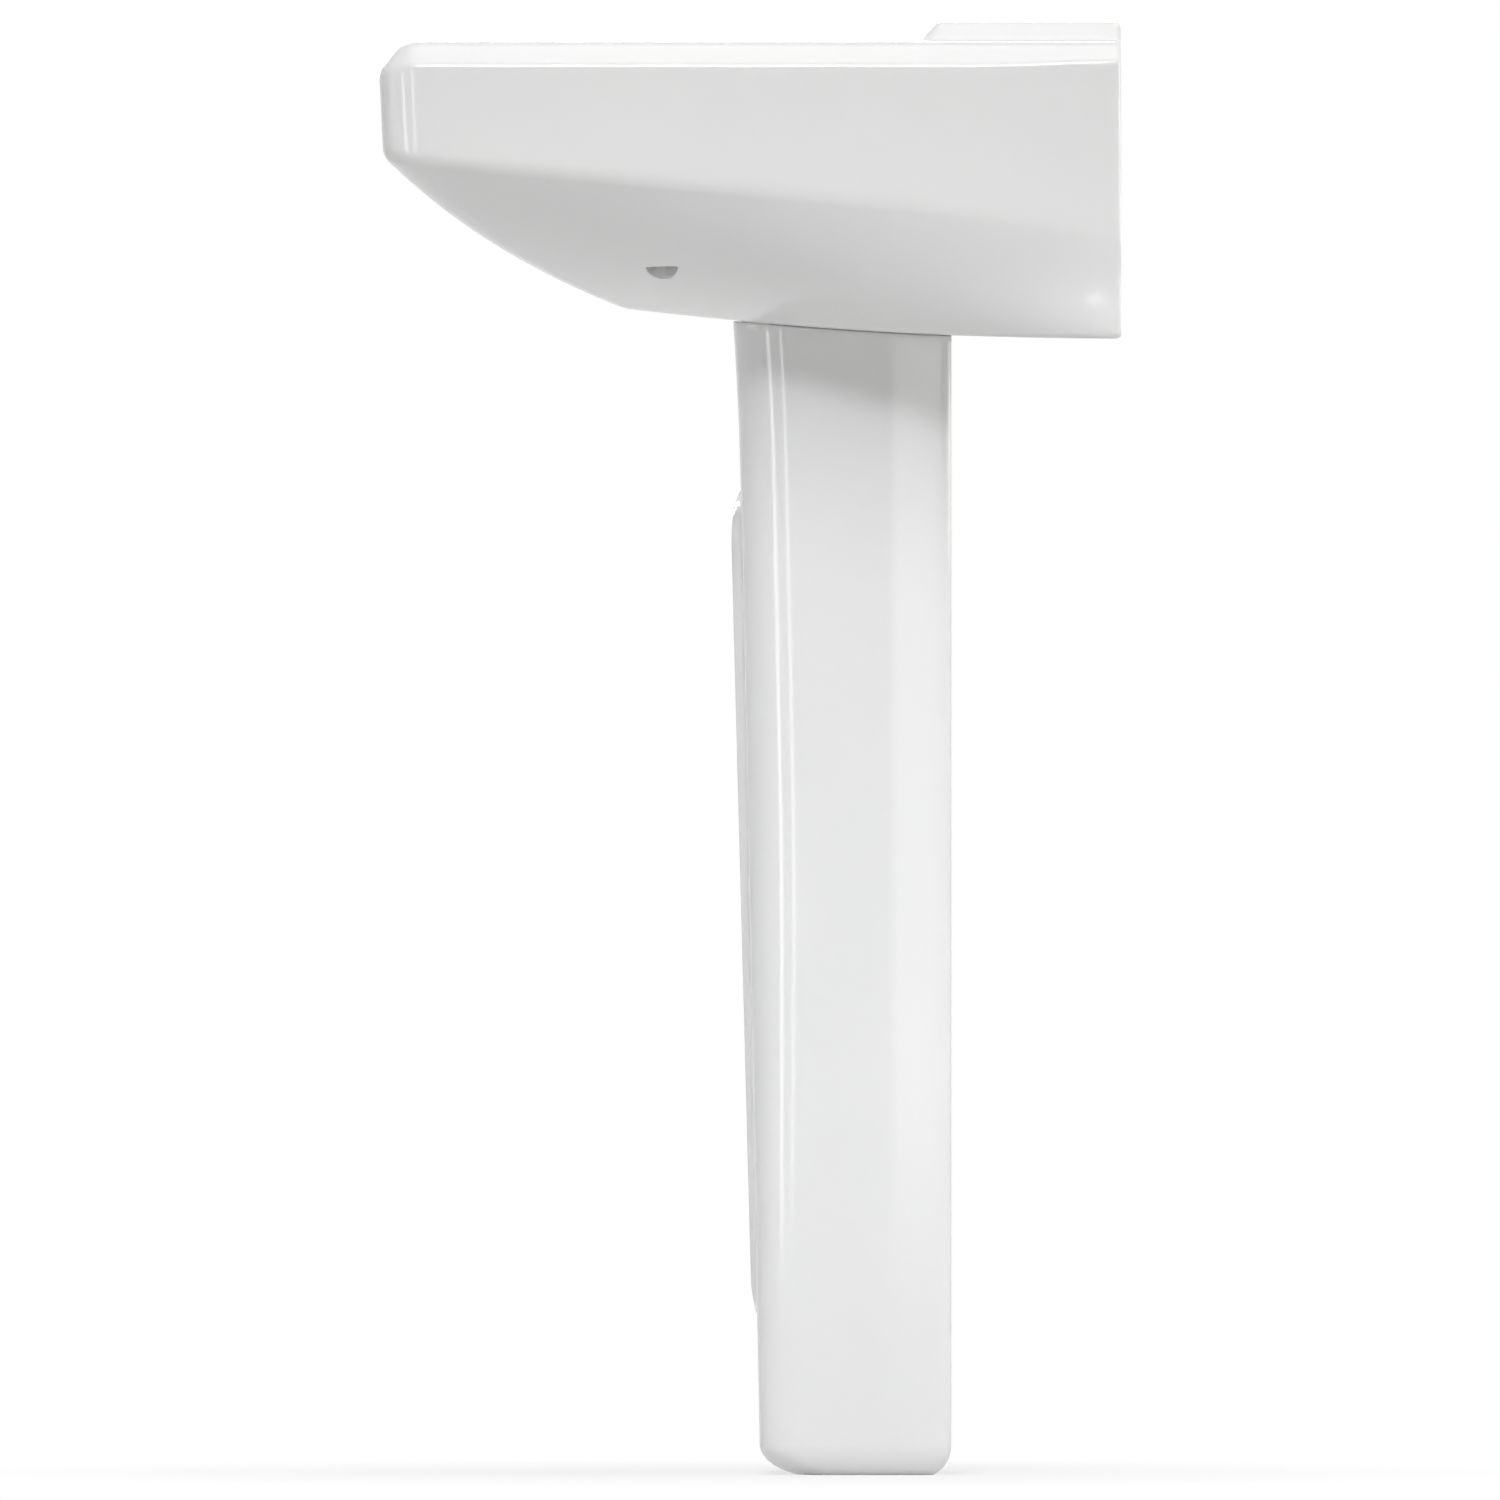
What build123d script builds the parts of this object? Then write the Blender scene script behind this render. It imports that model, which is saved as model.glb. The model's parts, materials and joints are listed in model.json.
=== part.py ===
from build123d import *
import math
import os

# Pedestal sink: a china basin on a china pedestal, with a push-button waste.
# Millimetres. +Z is up, +Y points to the wall, X runs across the width.
# The origin is on the floor, below the middle of the width and of the depth.

# Overall sizes
width = 560
depth = 450
deck_height = 873
ledge_rise = 11.5

# Rim of the basin: a broad bevel round the front and the sides
rim_bevel_in = 15
rim_bevel_down = 18
rim_top_round = 18
rim_low_round = 8
front_corner_radius = 25

# Hull: the drafted sides end in a sloping crease, and the flanks run in to the foot
side_draft = 2.5
crease_front_height = 801.5
crease_wall_height = 760
crease_blend = 0.0465
crease_side_blend = 0.12
crease_steps = 4
foot_front_setback = 148.5
foot_front_height = 710.7
foot_wall_height = 692.3
foot_front_half_width = 85
foot_wall_half_width = 275
foot_corner_radius = 6
hull_bulge = 10.4
flank_angle = 26
slope_angle = 31
slope_end_angle = 20
foot_touch_y = 80
hull_below_foot = 1

# China walls
shell_wall = 9
deck_wall = 11
back_wall = 16
bowl_wall = 8.5
foot_plate = 11
rear_opening_from_wall = 90
rear_opening_margin = 30

# Bowl
rim_width_front = 47
rim_width_side = 52
rim_width_rear = 131
bowl_depth = 128
bowl_corner_radius = 62
bowl_lip_round = 7
bowl_spread = 2.2
bowl_drop = 3.2
bowl_rear_spread = 5
bowl_rear_drop = 6
bowl_levels = (0, 0.25, 0.45, 0.62, 0.76, 0.87, 0.94, 0.98, 0.995)

# Ledge
ledge_depth = 123.5
ledge_side_inset = 34
ledge_corner_radius = 17
ledge_slope = 45
ledge_round = 5

# Holes in the china
faucet_hole_radius = 17.5
faucet_from_wall = 57
overflow_hole_radius = 11.5
overflow_below_deck = 38
wall_hole_radius = 8
wall_hole_spacing = 280
wall_hole_height = 812
vent_hole_radius = 9
vent_hole_length = 18
vent_hole_x = 214
vent_hole_y = -52
vent_hole_reach = 758

# Overflow channel behind the bowl, and its port into the drain hole
channel_width = 34
channel_depth = 13
channel_wall = 9
channel_port_height = 11

# Drain through the china
drain_from_wall = 187
drain_hole_radius = 23
drain_boss_radius = 33
drain_boss_below_foot = 0.7

# Waste body: flange, seat cone, threaded tube with ports, spider
flange_radius = 31
flange_edge = 3
flange_proud = 1
recess_clearance = 2.5
gasket_thickness = 1
body_radius = 21
body_bore_radius = 17.5
body_length = 84
seat_cone_radius = 20.5
seat_cone_depth = 8
port_count = 4
port_width = 14
spider_arms = 3
spider_arm_width = 4
spider_height = 7
spider_hub_radius = 8.5
spider_above_end = 15

# Clearances
slip_clearance = 0.1
running_clearance = 0.08
rest_gap = 0.3

# Clamping pieces under the china
taper_seal_radius = 31
taper_seal_height = 10
taper_seal_nose = 4
washer_radius = 30
washer_thickness = 1.6
backnut_height = 14
backnut_across_flats = 54

# Stopper: cap, plug with its O-ring, stem and lock nut
stopper_travel = 9
cap_radius = 27
cap_edge = 2
cap_dome = 4
seal_ring_radius = 17.6
seal_section_radius = 1.45
seal_below_flange = 2.6
plug_lip_radius = 16.9
plug_lip_height = 1.4
stem_radius = 4
stem_length = 52
stem_in_cap = 5
lock_nut_across_flats = 13
lock_nut_height = 5

# Push cartridge
housing_radius = 10
housing_bore_radius = 7.2
housing_length = 42
housing_floor = 2
housing_stub_radius = 5
collar_height = 4
collar_skirt = 5
rotor_height = 6
spring_wire = 0.9
spring_turns = 5
spring_mean_radius = 5.7

# Tailpiece
tail_radius = 15.875
tail_wall = 1.6
tail_length = 175
tail_socket = 10
tail_shoulder = 3
tail_shoulder_radius = 20
tail_seal_thickness = 1.5

# Overflow trim
trim_radius = 15
trim_thickness = 2.5
trim_eye_radius = 8.5
trim_sleeve_radius = 10
trim_sleeve_length = 9
trim_recess = 0.6
grommet_length = 7

# Pedestal
pedestal_from_wall = 102.3
pedestal_depth_base = 116.5
pedestal_front_lean = 0.0199
pedestal_flare = 2.6
pedestal_flare_start = 600
pedestal_half_base = 88
pedestal_half_top = 97
pedestal_corner_radius = 25
pedestal_turn_in_length = 36
pedestal_turn_in = 4
pedestal_edge_round = 5
pedestal_wall = 11
foot_round_front = 23
foot_round_rear = 11
foot_round_side = 12
foot_round_height = 19
foot_round_start = 20
foot_round_steps = 4
foot_flange_height = 14
foot_flange_width = 16
floor_lug_width = 34
floor_lug_depth = 40
floor_hole_radius = 5.5
floor_hole_spacing = 116
floor_hole_from_back = 34
seat_gasket_thickness = 1
seat_gasket_inset = 2.5
seat_gasket_width = 6

# Raised panel on the front of the pedestal
panel_top = 600
panel_full = 567
panel_low_full = 125
panel_bottom = 97
panel_half_top = 50
panel_half_bottom = 42
panel_proud_top = 6.2
panel_proud_bottom = 3.4
panel_top_round = 32
panel_bottom_round = 16

# Overrun of shapes that are made too long and then cut off
overrun = 40

# Places worked out from the sizes above
half_width = width / 2
wall_y = depth / 2
front_y = -depth / 2
ledge_height = deck_height + ledge_rise
rim_low = deck_height - rim_bevel_down
foot_front_y = front_y + foot_front_setback
foot_curve = (foot_front_height - foot_wall_height) / (wall_y - foot_front_y) ** 2
foot_touch_slope = -2 * foot_curve * (wall_y - foot_touch_y)
crease_front_y = front_y + side_draft
crease_slope = (crease_wall_height - crease_front_height) / (wall_y - crease_front_y)
bowl_half_width = half_width - rim_width_side
bowl_front_y = front_y + rim_width_front
bowl_rear_y = wall_y - rim_width_rear
bowl_floor = deck_height - bowl_levels[-1] * bowl_depth
drain_y = wall_y - drain_from_wall
flange_seat = bowl_floor + flange_proud - flange_edge
drain_recess_floor = flange_seat - gasket_thickness
recess_radius = flange_radius + recess_clearance
overflow_height = deck_height - overflow_below_deck


def tan(degrees):
    return math.tan(math.radians(degrees))


def sin(degrees):
    return math.sin(math.radians(degrees))


def cos(degrees):
    return math.cos(math.radians(degrees))


def foot_height(y):
    """Height of the basin's bottom face: a parabola that is level at the wall."""
    return foot_wall_height + foot_curve * (wall_y - y) ** 2


def crease_height(y):
    """Height of the crease between the drafted sides and the flanks."""
    return crease_front_height + crease_slope * (y - crease_front_y)


def touch_height(y):
    """Height of a plane just below the bottom face, which the hull is lofted down to."""
    return foot_height(foot_touch_y) - hull_below_foot + foot_touch_slope * (y - foot_touch_y)


# Where the front slope, carried on past the foot's front edge, meets that plane
slope_spare = foot_front_height - touch_height(foot_front_y)
hull_end_y = foot_front_y + slope_spare / (tan(slope_end_angle) + foot_touch_slope)


def foot_half_width(y):
    """Half width of the foot at y: a straight line from its front edge to the wall."""
    share = (y - foot_front_y) / (wall_y - foot_front_y)
    return foot_front_half_width + share * (foot_wall_half_width - foot_front_half_width)


def outline(y, z, slope, half_front, half_rear, corner):
    """Sketch an outline from (y, z) past the wall, on a plane that climbs by slope along Y."""
    plane = Plane(origin=(0, y, z), x_dir=(1, 0, 0), z_dir=(0, -slope, 1))
    length = (wall_y + overrun - y) / plane.y_dir.Y
    with BuildSketch(plane) as drawn:
        with BuildLine():
            Polyline(
                (-half_front, 0),
                (half_front, 0),
                (half_rear, length),
                (-half_rear, length),
                close=True,
            )
        make_face()
        fillet(drawn.vertices().sort_by(Axis.Y)[:2], corner)
    return drawn.sketch


def between(first, second, share):
    """Values at a share of the way from one outline's values to another's."""
    return tuple(a + (b - a) * share for a, b in zip(first, second))


def hull_outlines(inset, top):
    """Values of the hull's outlines: low, middle, crease and top, drawn in by inset."""
    flank_in = inset / sin(flank_angle)
    slope_in = inset / sin(slope_angle)
    crease_lift = inset * (1 / cos(slope_angle) - tan(slope_angle))
    corner = max(front_corner_radius - inset, foot_corner_radius)

    low_y = hull_end_y + slope_in
    low = (
        low_y,
        touch_height(low_y),
        foot_touch_slope,
        foot_half_width(hull_end_y) - flank_in,
        foot_half_width(wall_y + overrun) - inset,
        foot_corner_radius,
    )
    crease_y = crease_front_y + inset
    crease_half = half_width - side_draft - inset
    crease_z = crease_height(crease_y) + crease_lift
    crease = (crease_y, crease_z, crease_slope, crease_half, crease_half, corner)
    upper_half = half_width - inset
    upper = (front_y + inset, top, 0, upper_half, upper_half, corner)

    rise = crease_z - low[1]
    run = low_y - crease_y
    outward = hull_bulge / math.hypot(rise, run)
    y, z, *rest = between(low, crease, 0.5)
    middle = (y - rise * outward, z - run * outward, *rest)
    return low, middle, crease, upper


def draw_hull(inset, top):
    """Loft the flanks, the rounded crease and the drafted sides, drawn in by inset."""
    low, middle, crease, upper = hull_outlines(inset, top)
    flank_end = between(crease, middle, 2 * crease_blend)
    side_start = between(crease, upper, crease_side_blend)
    rounded = []
    for step in range(crease_steps + 1):
        share = step / crease_steps
        first = between(flank_end, crease, share)
        second = between(crease, side_start, share)
        rounded.append(outline(*between(first, second, share)))
    loft([outline(*low), outline(*middle), rounded[0]])
    loft(rounded)
    loft([rounded[-1], outline(*upper)], ruled=True)


def foot_region(lift, far_height):
    """Sketch, seen from the side, of what lies between the bottom face and far_height."""
    rear = wall_y + overrun
    middle = (front_y + rear) / 2
    front_gradient = -2 * foot_curve * (wall_y - front_y)
    tangent_height = foot_height(front_y) + front_gradient * (middle - front_y)
    with BuildSketch(Plane.YZ) as drawn:
        with BuildLine():
            Bezier(
                (front_y, foot_height(front_y) + lift),
                (middle, tangent_height + lift),
                (rear, foot_height(rear) + lift),
            )
            Polyline(
                (rear, foot_height(rear) + lift),
                (rear, far_height),
                (front_y, far_height),
                (front_y, foot_height(front_y) + lift),
            )
        make_face()
    return drawn.sketch


def bowl_share(level, spread, drop):
    """Share of the rim's size left at a share of the bowl's depth: a superellipse."""
    return (1 - level**drop) ** (1 / spread)


def draw_bowl(grow):
    """Loft the bowl's shape through its levels, grown outwards and downwards by grow."""
    sections = []
    for level in bowl_levels:
        share = bowl_share(level, bowl_spread, bowl_drop)
        rear_share = bowl_share(level, bowl_rear_spread, bowl_rear_drop)
        half = bowl_half_width * share + grow
        front = (drain_y - bowl_front_y) * share + grow
        rear = (bowl_rear_y - drain_y) * rear_share + grow
        corner = bowl_corner_radius * share + grow
        height = deck_height - bowl_depth * level - grow * level**2
        middle = Plane(origin=(0, drain_y + (rear - front) / 2, height))
        with BuildSketch(middle) as drawn:
            RectangleRounded(2 * half, front + rear, min(corner, half * 0.9, (front + rear) * 0.45))
        sections.append(drawn.sketch)
    loft(sections)


# Basin: the hull as a hollow shell, with the bowl, its drain column and the
# overflow channel standing inside it

with BuildPart() as hollow:
    draw_hull(shell_wall, deck_height - deck_wall)
    extrude(foot_region(foot_plate, 0), amount=width, both=True, mode=Mode.SUBTRACT)
    split(bisect_by=Plane.XZ.offset(back_wall - wall_y), keep=Keep.TOP)

with BuildPart() as bowl_shell:
    draw_bowl(bowl_wall)

with BuildPart() as bowl_space:
    draw_bowl(0)

with BuildPart() as channel_rib:
    channel_front_y = bowl_rear_y + channel_wall
    channel_rear_y = channel_front_y + channel_depth
    channel_top = deck_height - overflow_below_deck + overflow_hole_radius + 1
    rib_bottom = foot_height(drain_y)
    rib_rear_y = channel_rear_y + channel_wall
    with BuildSketch(Plane.XY.offset(rib_bottom)):
        with Locations((0, (drain_y + rib_rear_y) / 2)):
            Rectangle(channel_width + 2 * channel_wall, rib_rear_y - drain_y)
    extrude(amount=deck_height - deck_wall - rib_bottom)

with BuildPart() as channel:
    port_bottom = foot_height(drain_y) + foot_plate
    with BuildSketch(Plane.XY.offset(port_bottom)):
        with Locations((0, (channel_front_y + channel_rear_y) / 2)):
            Rectangle(channel_width, channel_depth)
    extrude(amount=channel_top - port_bottom)
    with BuildSketch(Plane.XY.offset(port_bottom)):
        with Locations((0, (drain_y + channel_front_y) / 2)):
            Rectangle(channel_width, channel_front_y - drain_y)
    extrude(amount=channel_port_height)

with BuildPart() as basin:
    draw_hull(0, rim_low)
    rim_outline = outline(front_y, rim_low, 0, half_width, half_width, front_corner_radius)
    rim_taper = math.degrees(math.atan(rim_bevel_in / rim_bevel_down))
    extrude(rim_outline, amount=rim_bevel_down, taper=rim_taper)

    rim_top_edges = basin.faces().sort_by(Axis.Z)[-1].edges().sort_by(Axis.Y)[:-1]
    fillet(rim_top_edges, rim_top_round)
    low_rim_edges = basin.edges().filter_by(lambda e: abs(e.center().Z - rim_low) < 0.1)
    fillet(low_rim_edges.sort_by(Axis.Y)[:-1], rim_low_round)
    with BuildSketch(Plane.XY.offset(deck_height)) as ledge_outline:
        ledge_front_y = wall_y - ledge_depth
        with Locations((0, (ledge_front_y + wall_y + overrun) / 2)):
            Rectangle(2 * (half_width - ledge_side_inset), ledge_depth + overrun)
        fillet(ledge_outline.vertices().sort_by(Axis.Y)[:2], ledge_corner_radius)
    extrude(amount=ledge_rise, taper=ledge_slope)
    ledge_edges = basin.faces().sort_by(Axis.Z)[-1].edges().sort_by(Axis.Y)[:-1]
    fillet(ledge_edges, ledge_round)
    split(bisect_by=Plane.XZ.offset(-wall_y), keep=Keep.TOP)
    extrude(foot_region(0, 0), amount=width, both=True, mode=Mode.SUBTRACT)
    add(hollow.part, mode=Mode.SUBTRACT)
    add(bowl_shell.part)
    add(channel_rib.part)
    boss_bottom = foot_height(drain_y + drain_boss_radius) - drain_boss_below_foot
    with BuildSketch(Plane.XY.offset(boss_bottom)):
        with Locations((0, drain_y)):
            Circle(drain_boss_radius)
    extrude(amount=bowl_floor - boss_bottom)

    # Holes: bowl, drain and its recess, channel, overflow, faucet, wall bolts, vents
    add(bowl_space.part, mode=Mode.SUBTRACT)
    deck_face = basin.faces().filter_by(Axis.Z).filter_by(lambda f: abs(f.center().Z - deck_height) < 0.1)
    lip_edges = deck_face.sort_by(SortBy.AREA)[-1].inner_wires()[0].edges()
    fillet(lip_edges, bowl_lip_round)
    add(channel.part, mode=Mode.SUBTRACT)
    with BuildSketch(Plane.XY.offset(boss_bottom)):
        with Locations((0, drain_y)):
            Circle(drain_hole_radius)
    extrude(amount=bowl_depth, mode=Mode.SUBTRACT)
    with BuildSketch(Plane.XY.offset(drain_recess_floor)):
        with Locations((0, drain_y)):
            Circle(recess_radius)
    extrude(amount=bowl_depth / 4, mode=Mode.SUBTRACT)
    with BuildSketch(Plane.XZ.offset(-channel_front_y - channel_depth / 2)):
        with Locations((0, overflow_height)):
            Circle(overflow_hole_radius)
    extrude(amount=channel_front_y - drain_y, mode=Mode.SUBTRACT)
    with BuildSketch(Plane.XZ.offset(-bowl_rear_y - trim_recess)):
        with Locations((0, overflow_height)):
            Circle(trim_radius + rest_gap)
    extrude(amount=channel_wall, mode=Mode.SUBTRACT)
    with BuildSketch(Plane.XY.offset(ledge_height)):
        with Locations((0, wall_y - faucet_from_wall)):
            Circle(faucet_hole_radius)
    extrude(amount=-ledge_rise - 2 * deck_wall, mode=Mode.SUBTRACT)
    with BuildSketch(Plane.XZ.offset(-wall_y)):
        with Locations(*[(side * wall_hole_spacing / 2, wall_hole_height) for side in (-1, 1)]):
            Circle(wall_hole_radius)
    extrude(amount=2 * back_wall, mode=Mode.SUBTRACT)
    with BuildSketch(Plane.XY.offset(vent_hole_reach)):
        for side in (-1, 1):
            inner_x = side * (vent_hole_x - vent_hole_length + vent_hole_radius)
            with Locations((inner_x, vent_hole_y)):
                Circle(vent_hole_radius)
            with Locations(((inner_x + side * vent_hole_x) / 2, vent_hole_y)):
                Rectangle(vent_hole_length - vent_hole_radius, 2 * vent_hole_radius)
    extrude(amount=-vent_hole_reach + foot_wall_height, mode=Mode.SUBTRACT)
    opening_front_y = wall_y - rear_opening_from_wall
    with BuildSketch(Plane.XY.offset(foot_wall_height - overrun)):
        with BuildLine():
            Polyline(
                (-foot_half_width(opening_front_y) + rear_opening_margin, opening_front_y),
                (foot_half_width(opening_front_y) - rear_opening_margin, opening_front_y),
                (foot_half_width(wall_y) - rear_opening_margin, wall_y - back_wall),
                (-foot_half_width(wall_y) + rear_opening_margin, wall_y - back_wall),
                close=True,
            )
        make_face()
    extrude(amount=overrun + 2 * foot_plate, mode=Mode.SUBTRACT)
basin.part.label = "basin"


# Pedestal: a tapering shell, open at the back, with a flanged foot

pedestal_rear_y = wall_y - pedestal_from_wall
pedestal_height = foot_height(pedestal_rear_y - pedestal_depth_base)


def pedestal_front_y(z):
    """Front face of the pedestal: a straight lean, and a slight flare near the top."""
    flare = max(0, z - pedestal_flare_start) / (pedestal_height - pedestal_flare_start)
    straight = pedestal_rear_y - pedestal_depth_base - pedestal_front_lean * z
    return straight - pedestal_flare * flare**2


def pedestal_half_width(z):
    """Half width of the pedestal, which tapers evenly from its top to its foot."""
    return pedestal_half_base + (pedestal_half_top - pedestal_half_base) * z / pedestal_height


def pedestal_outline(z, inset=0, rounding=0, rear_reach=0):
    """Sketch the pedestal's plan at z, drawn in by inset and by a share of the foot's rounding."""
    front = pedestal_front_y(z) + inset + foot_round_front * rounding
    half = pedestal_half_width(z) - inset - foot_round_side * rounding
    rear = pedestal_rear_y + rear_reach - foot_round_rear * rounding
    turn_y = pedestal_rear_y - pedestal_turn_in_length
    turn = pedestal_turn_in * (rear - turn_y) / pedestal_turn_in_length
    with BuildSketch(Plane.XY.offset(z)) as drawn:
        with BuildLine():
            Polyline(
                (-half, front),
                (half, front),
                (half, turn_y),
                (half - turn, rear),
                (turn - half, rear),
                (-half, turn_y),
                close=True,
            )
        make_face()
        corners = drawn.vertices().sort_by(Axis.Y)
        fillet(corners[:2], pedestal_corner_radius - inset)
        fillet(drawn.vertices().sort_by(Axis.Y)[-2:], pedestal_edge_round)
    return drawn.sketch


# Raised panel on the front, with curved ends that run out into the front face
with BuildPart() as panel:
    panel_inside_y = pedestal_front_y(panel_bottom) + pedestal_wall / 2
    with BuildSketch(Plane.YZ) as panel_side:
        with BuildLine():
            full_y = pedestal_front_y(panel_full) - panel_proud_top
            low_full_y = pedestal_front_y(panel_low_full) - panel_proud_bottom
            upper_end = Bezier(
                (pedestal_front_y(panel_top), panel_top),
                (full_y, (panel_top + 2 * panel_full) / 3),
                (full_y, panel_full),
            )
            lower_end = Bezier(
                (low_full_y, panel_low_full),
                (low_full_y, (panel_bottom + 2 * panel_low_full) / 3),
                (pedestal_front_y(panel_bottom), panel_bottom),
            )
            Line(upper_end @ 1, lower_end @ 0)
            Polyline(
                lower_end @ 1,
                (panel_inside_y, panel_bottom),
                (panel_inside_y, panel_top),
                upper_end @ 0,
            )
        make_face()
    extrude(panel_side.sketch, amount=panel_half_top, both=True)
    with BuildSketch(Plane.XZ) as panel_front:
        with BuildLine():
            Polyline(
                (-panel_half_bottom, panel_bottom),
                (panel_half_bottom, panel_bottom),
                (panel_half_top, panel_top),
                (-panel_half_top, panel_top),
                close=True,
            )
        make_face()
        fillet(panel_front.vertices().sort_by(Axis.Y)[-2:], panel_top_round)
        fillet(panel_front.vertices().sort_by(Axis.Y)[:2], panel_bottom_round)
    extrude(panel_front.sketch, amount=depth, both=True, mode=Mode.INTERSECT)

with BuildPart() as pedestal:
    foot_sections = []
    for step in range(foot_round_steps + 1):
        angle = foot_round_start + (90 - foot_round_start) * step / foot_round_steps
        rise = 1 - cos(angle) / cos(foot_round_start)
        rounding = (1 - sin(angle)) / (1 - sin(foot_round_start))
        foot_sections.append(pedestal_outline(foot_round_height * rise, rounding=rounding))
    loft(foot_sections)
    top_z = pedestal_height + overrun / 2
    heights = (foot_round_height, pedestal_flare_start, pedestal_height, top_z)
    for low_z, high_z in zip(heights, heights[1:]):
        loft([pedestal_outline(low_z), pedestal_outline(high_z)], ruled=True)
    add(panel.part)

    # Hollow, open at the back, above a flange with two lugs for the floor screws
    hollow_heights = (foot_flange_height, pedestal_flare_start, pedestal_height, top_z)
    for low_z, high_z in zip(hollow_heights, hollow_heights[1:]):
        loft(
            [
                pedestal_outline(low_z, inset=pedestal_wall, rear_reach=overrun),
                pedestal_outline(high_z, inset=pedestal_wall, rear_reach=overrun),
            ],
            ruled=True,
            mode=Mode.SUBTRACT,
        )
    floor_hole_y = pedestal_rear_y - floor_hole_from_back
    floor_holes = [(side * floor_hole_spacing / 2, floor_hole_y) for side in (-1, 1)]
    with BuildSketch():
        window_half = pedestal_half_base - pedestal_wall - foot_flange_width
        window_front = pedestal_front_y(0) + foot_round_front + foot_flange_width
        with Locations((0, (window_front + pedestal_rear_y + overrun) / 2)):
            Rectangle(2 * window_half, pedestal_rear_y + overrun - window_front)
        with Locations(*floor_holes):
            Rectangle(floor_lug_width, floor_lug_depth, mode=Mode.SUBTRACT)
    extrude(amount=foot_flange_height, mode=Mode.SUBTRACT)
    with BuildSketch():
        with Locations(*floor_holes):
            Circle(floor_hole_radius)
    extrude(amount=foot_flange_height, mode=Mode.SUBTRACT)
    extrude(
        foot_region(-seat_gasket_thickness, deck_height), amount=width, both=True, mode=Mode.SUBTRACT
    )
pedestal.part.label = "pedestal"

with BuildPart() as seat_gasket:
    strip_low = foot_wall_height - overrun
    strip_outer = pedestal_outline(strip_low, inset=seat_gasket_inset)
    strip_inner = pedestal_outline(
        strip_low, inset=seat_gasket_inset + seat_gasket_width, rear_reach=overrun
    )
    extrude(strip_outer, amount=2 * overrun)
    extrude(strip_inner, amount=2 * overrun, mode=Mode.SUBTRACT)
    extrude(foot_region(0, deck_height), amount=width, both=True, mode=Mode.SUBTRACT)
    extrude(foot_region(-seat_gasket_thickness, 0), amount=width, both=True, mode=Mode.SUBTRACT)
seat_gasket.part.label = "seat_gasket"

# Waste fitting: everything turned about the drain's axis

drain_axis = Axis((0, drain_y, 0), (0, 0, 1))
flange_top = flange_seat + flange_edge
body_end = flange_seat - body_length
port_height = channel_port_height - 1
port_middle = foot_height(drain_y) + foot_plate + channel_port_height / 2
spider_bottom = body_end + spider_above_end
spider_top = spider_bottom + spider_height
clear_body = body_radius + slip_clearance
clear_stem = stem_radius + slip_clearance


def turned(*points):
    """Revolve a closed profile of (radius, height) corners about the drain's axis."""
    with BuildSketch(Plane.XZ.offset(-drain_y)) as profile:
        with BuildLine():
            Polyline(*points, close=True)
        make_face()
    revolve(profile.sketch, axis=drain_axis)


def ring(inner, outer, low, high):
    """Revolve a plain ring with a rectangular section about the drain's axis."""
    turned((inner, low), (outer, low), (outer, high), (inner, high))


def hex_nut(across_flats, bore, low, high):
    """A hexagon nut about the drain's axis."""
    with BuildSketch(Plane.XY.offset(low)) as flats:
        with Locations((0, drain_y)):
            RegularPolygon(across_flats / 2, 6, major_radius=False)
            Circle(bore, mode=Mode.SUBTRACT)
    extrude(flats.sketch, amount=high - low)


with BuildPart() as waste_body:
    turned(
        (body_bore_radius, body_end),
        (body_radius, body_end),
        (body_radius, flange_seat),
        (flange_radius, flange_seat),
        (flange_radius, flange_seat + flange_edge / 3),
        (flange_radius - flange_edge / 2, flange_top),
        (seat_cone_radius, flange_top),
        (body_bore_radius, flange_top - seat_cone_depth),
    )
    for turn in range(port_count // 2):
        with Locations(Location((0, drain_y, port_middle), (0, 0, 360 / port_count * turn))):
            Box(2 * flange_radius, port_width, port_height, mode=Mode.SUBTRACT)
    ring(housing_stub_radius + slip_clearance, spider_hub_radius, spider_bottom, spider_top)
    arm_length = body_radius - spider_hub_radius
    arm_middle = (body_radius - 1 + spider_hub_radius - 1) / 2
    with Locations((0, drain_y, (spider_bottom + spider_top) / 2)):
        with PolarLocations(arm_middle, spider_arms):
            Box(arm_length, spider_arm_width, spider_height)
waste_body.part.label = "waste_body"

with BuildPart() as flange_gasket:
    ring(clear_body, flange_radius - 1, drain_recess_floor, flange_seat)
flange_gasket.part.label = "flange_gasket"

taper_bottom = boss_bottom - taper_seal_height
washer_bottom = taper_bottom - washer_thickness
with BuildPart() as taper_seal:
    turned(
        (clear_body, taper_bottom),
        (taper_seal_radius - 1, taper_bottom),
        (taper_seal_radius, boss_bottom),
        (drain_hole_radius - rest_gap, boss_bottom),
        ((drain_hole_radius + clear_body) / 2, boss_bottom + taper_seal_nose),
        (clear_body, boss_bottom + taper_seal_nose),
    )
taper_seal.part.label = "taper_seal"

with BuildPart() as friction_washer:
    ring(clear_body, washer_radius, washer_bottom, taper_bottom)
friction_washer.part.label = "friction_washer"

with BuildPart() as backnut:
    hex_nut(backnut_across_flats, clear_body, washer_bottom - backnut_height, washer_bottom)
backnut.part.label = "backnut"

# Tailpiece, screwed into the body's lower end

seal_low = body_end - tail_seal_thickness
with BuildPart() as tailpiece_seal:
    ring(body_bore_radius, tail_shoulder_radius, seal_low, body_end)
tailpiece_seal.part.label = "tailpiece_seal"

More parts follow.
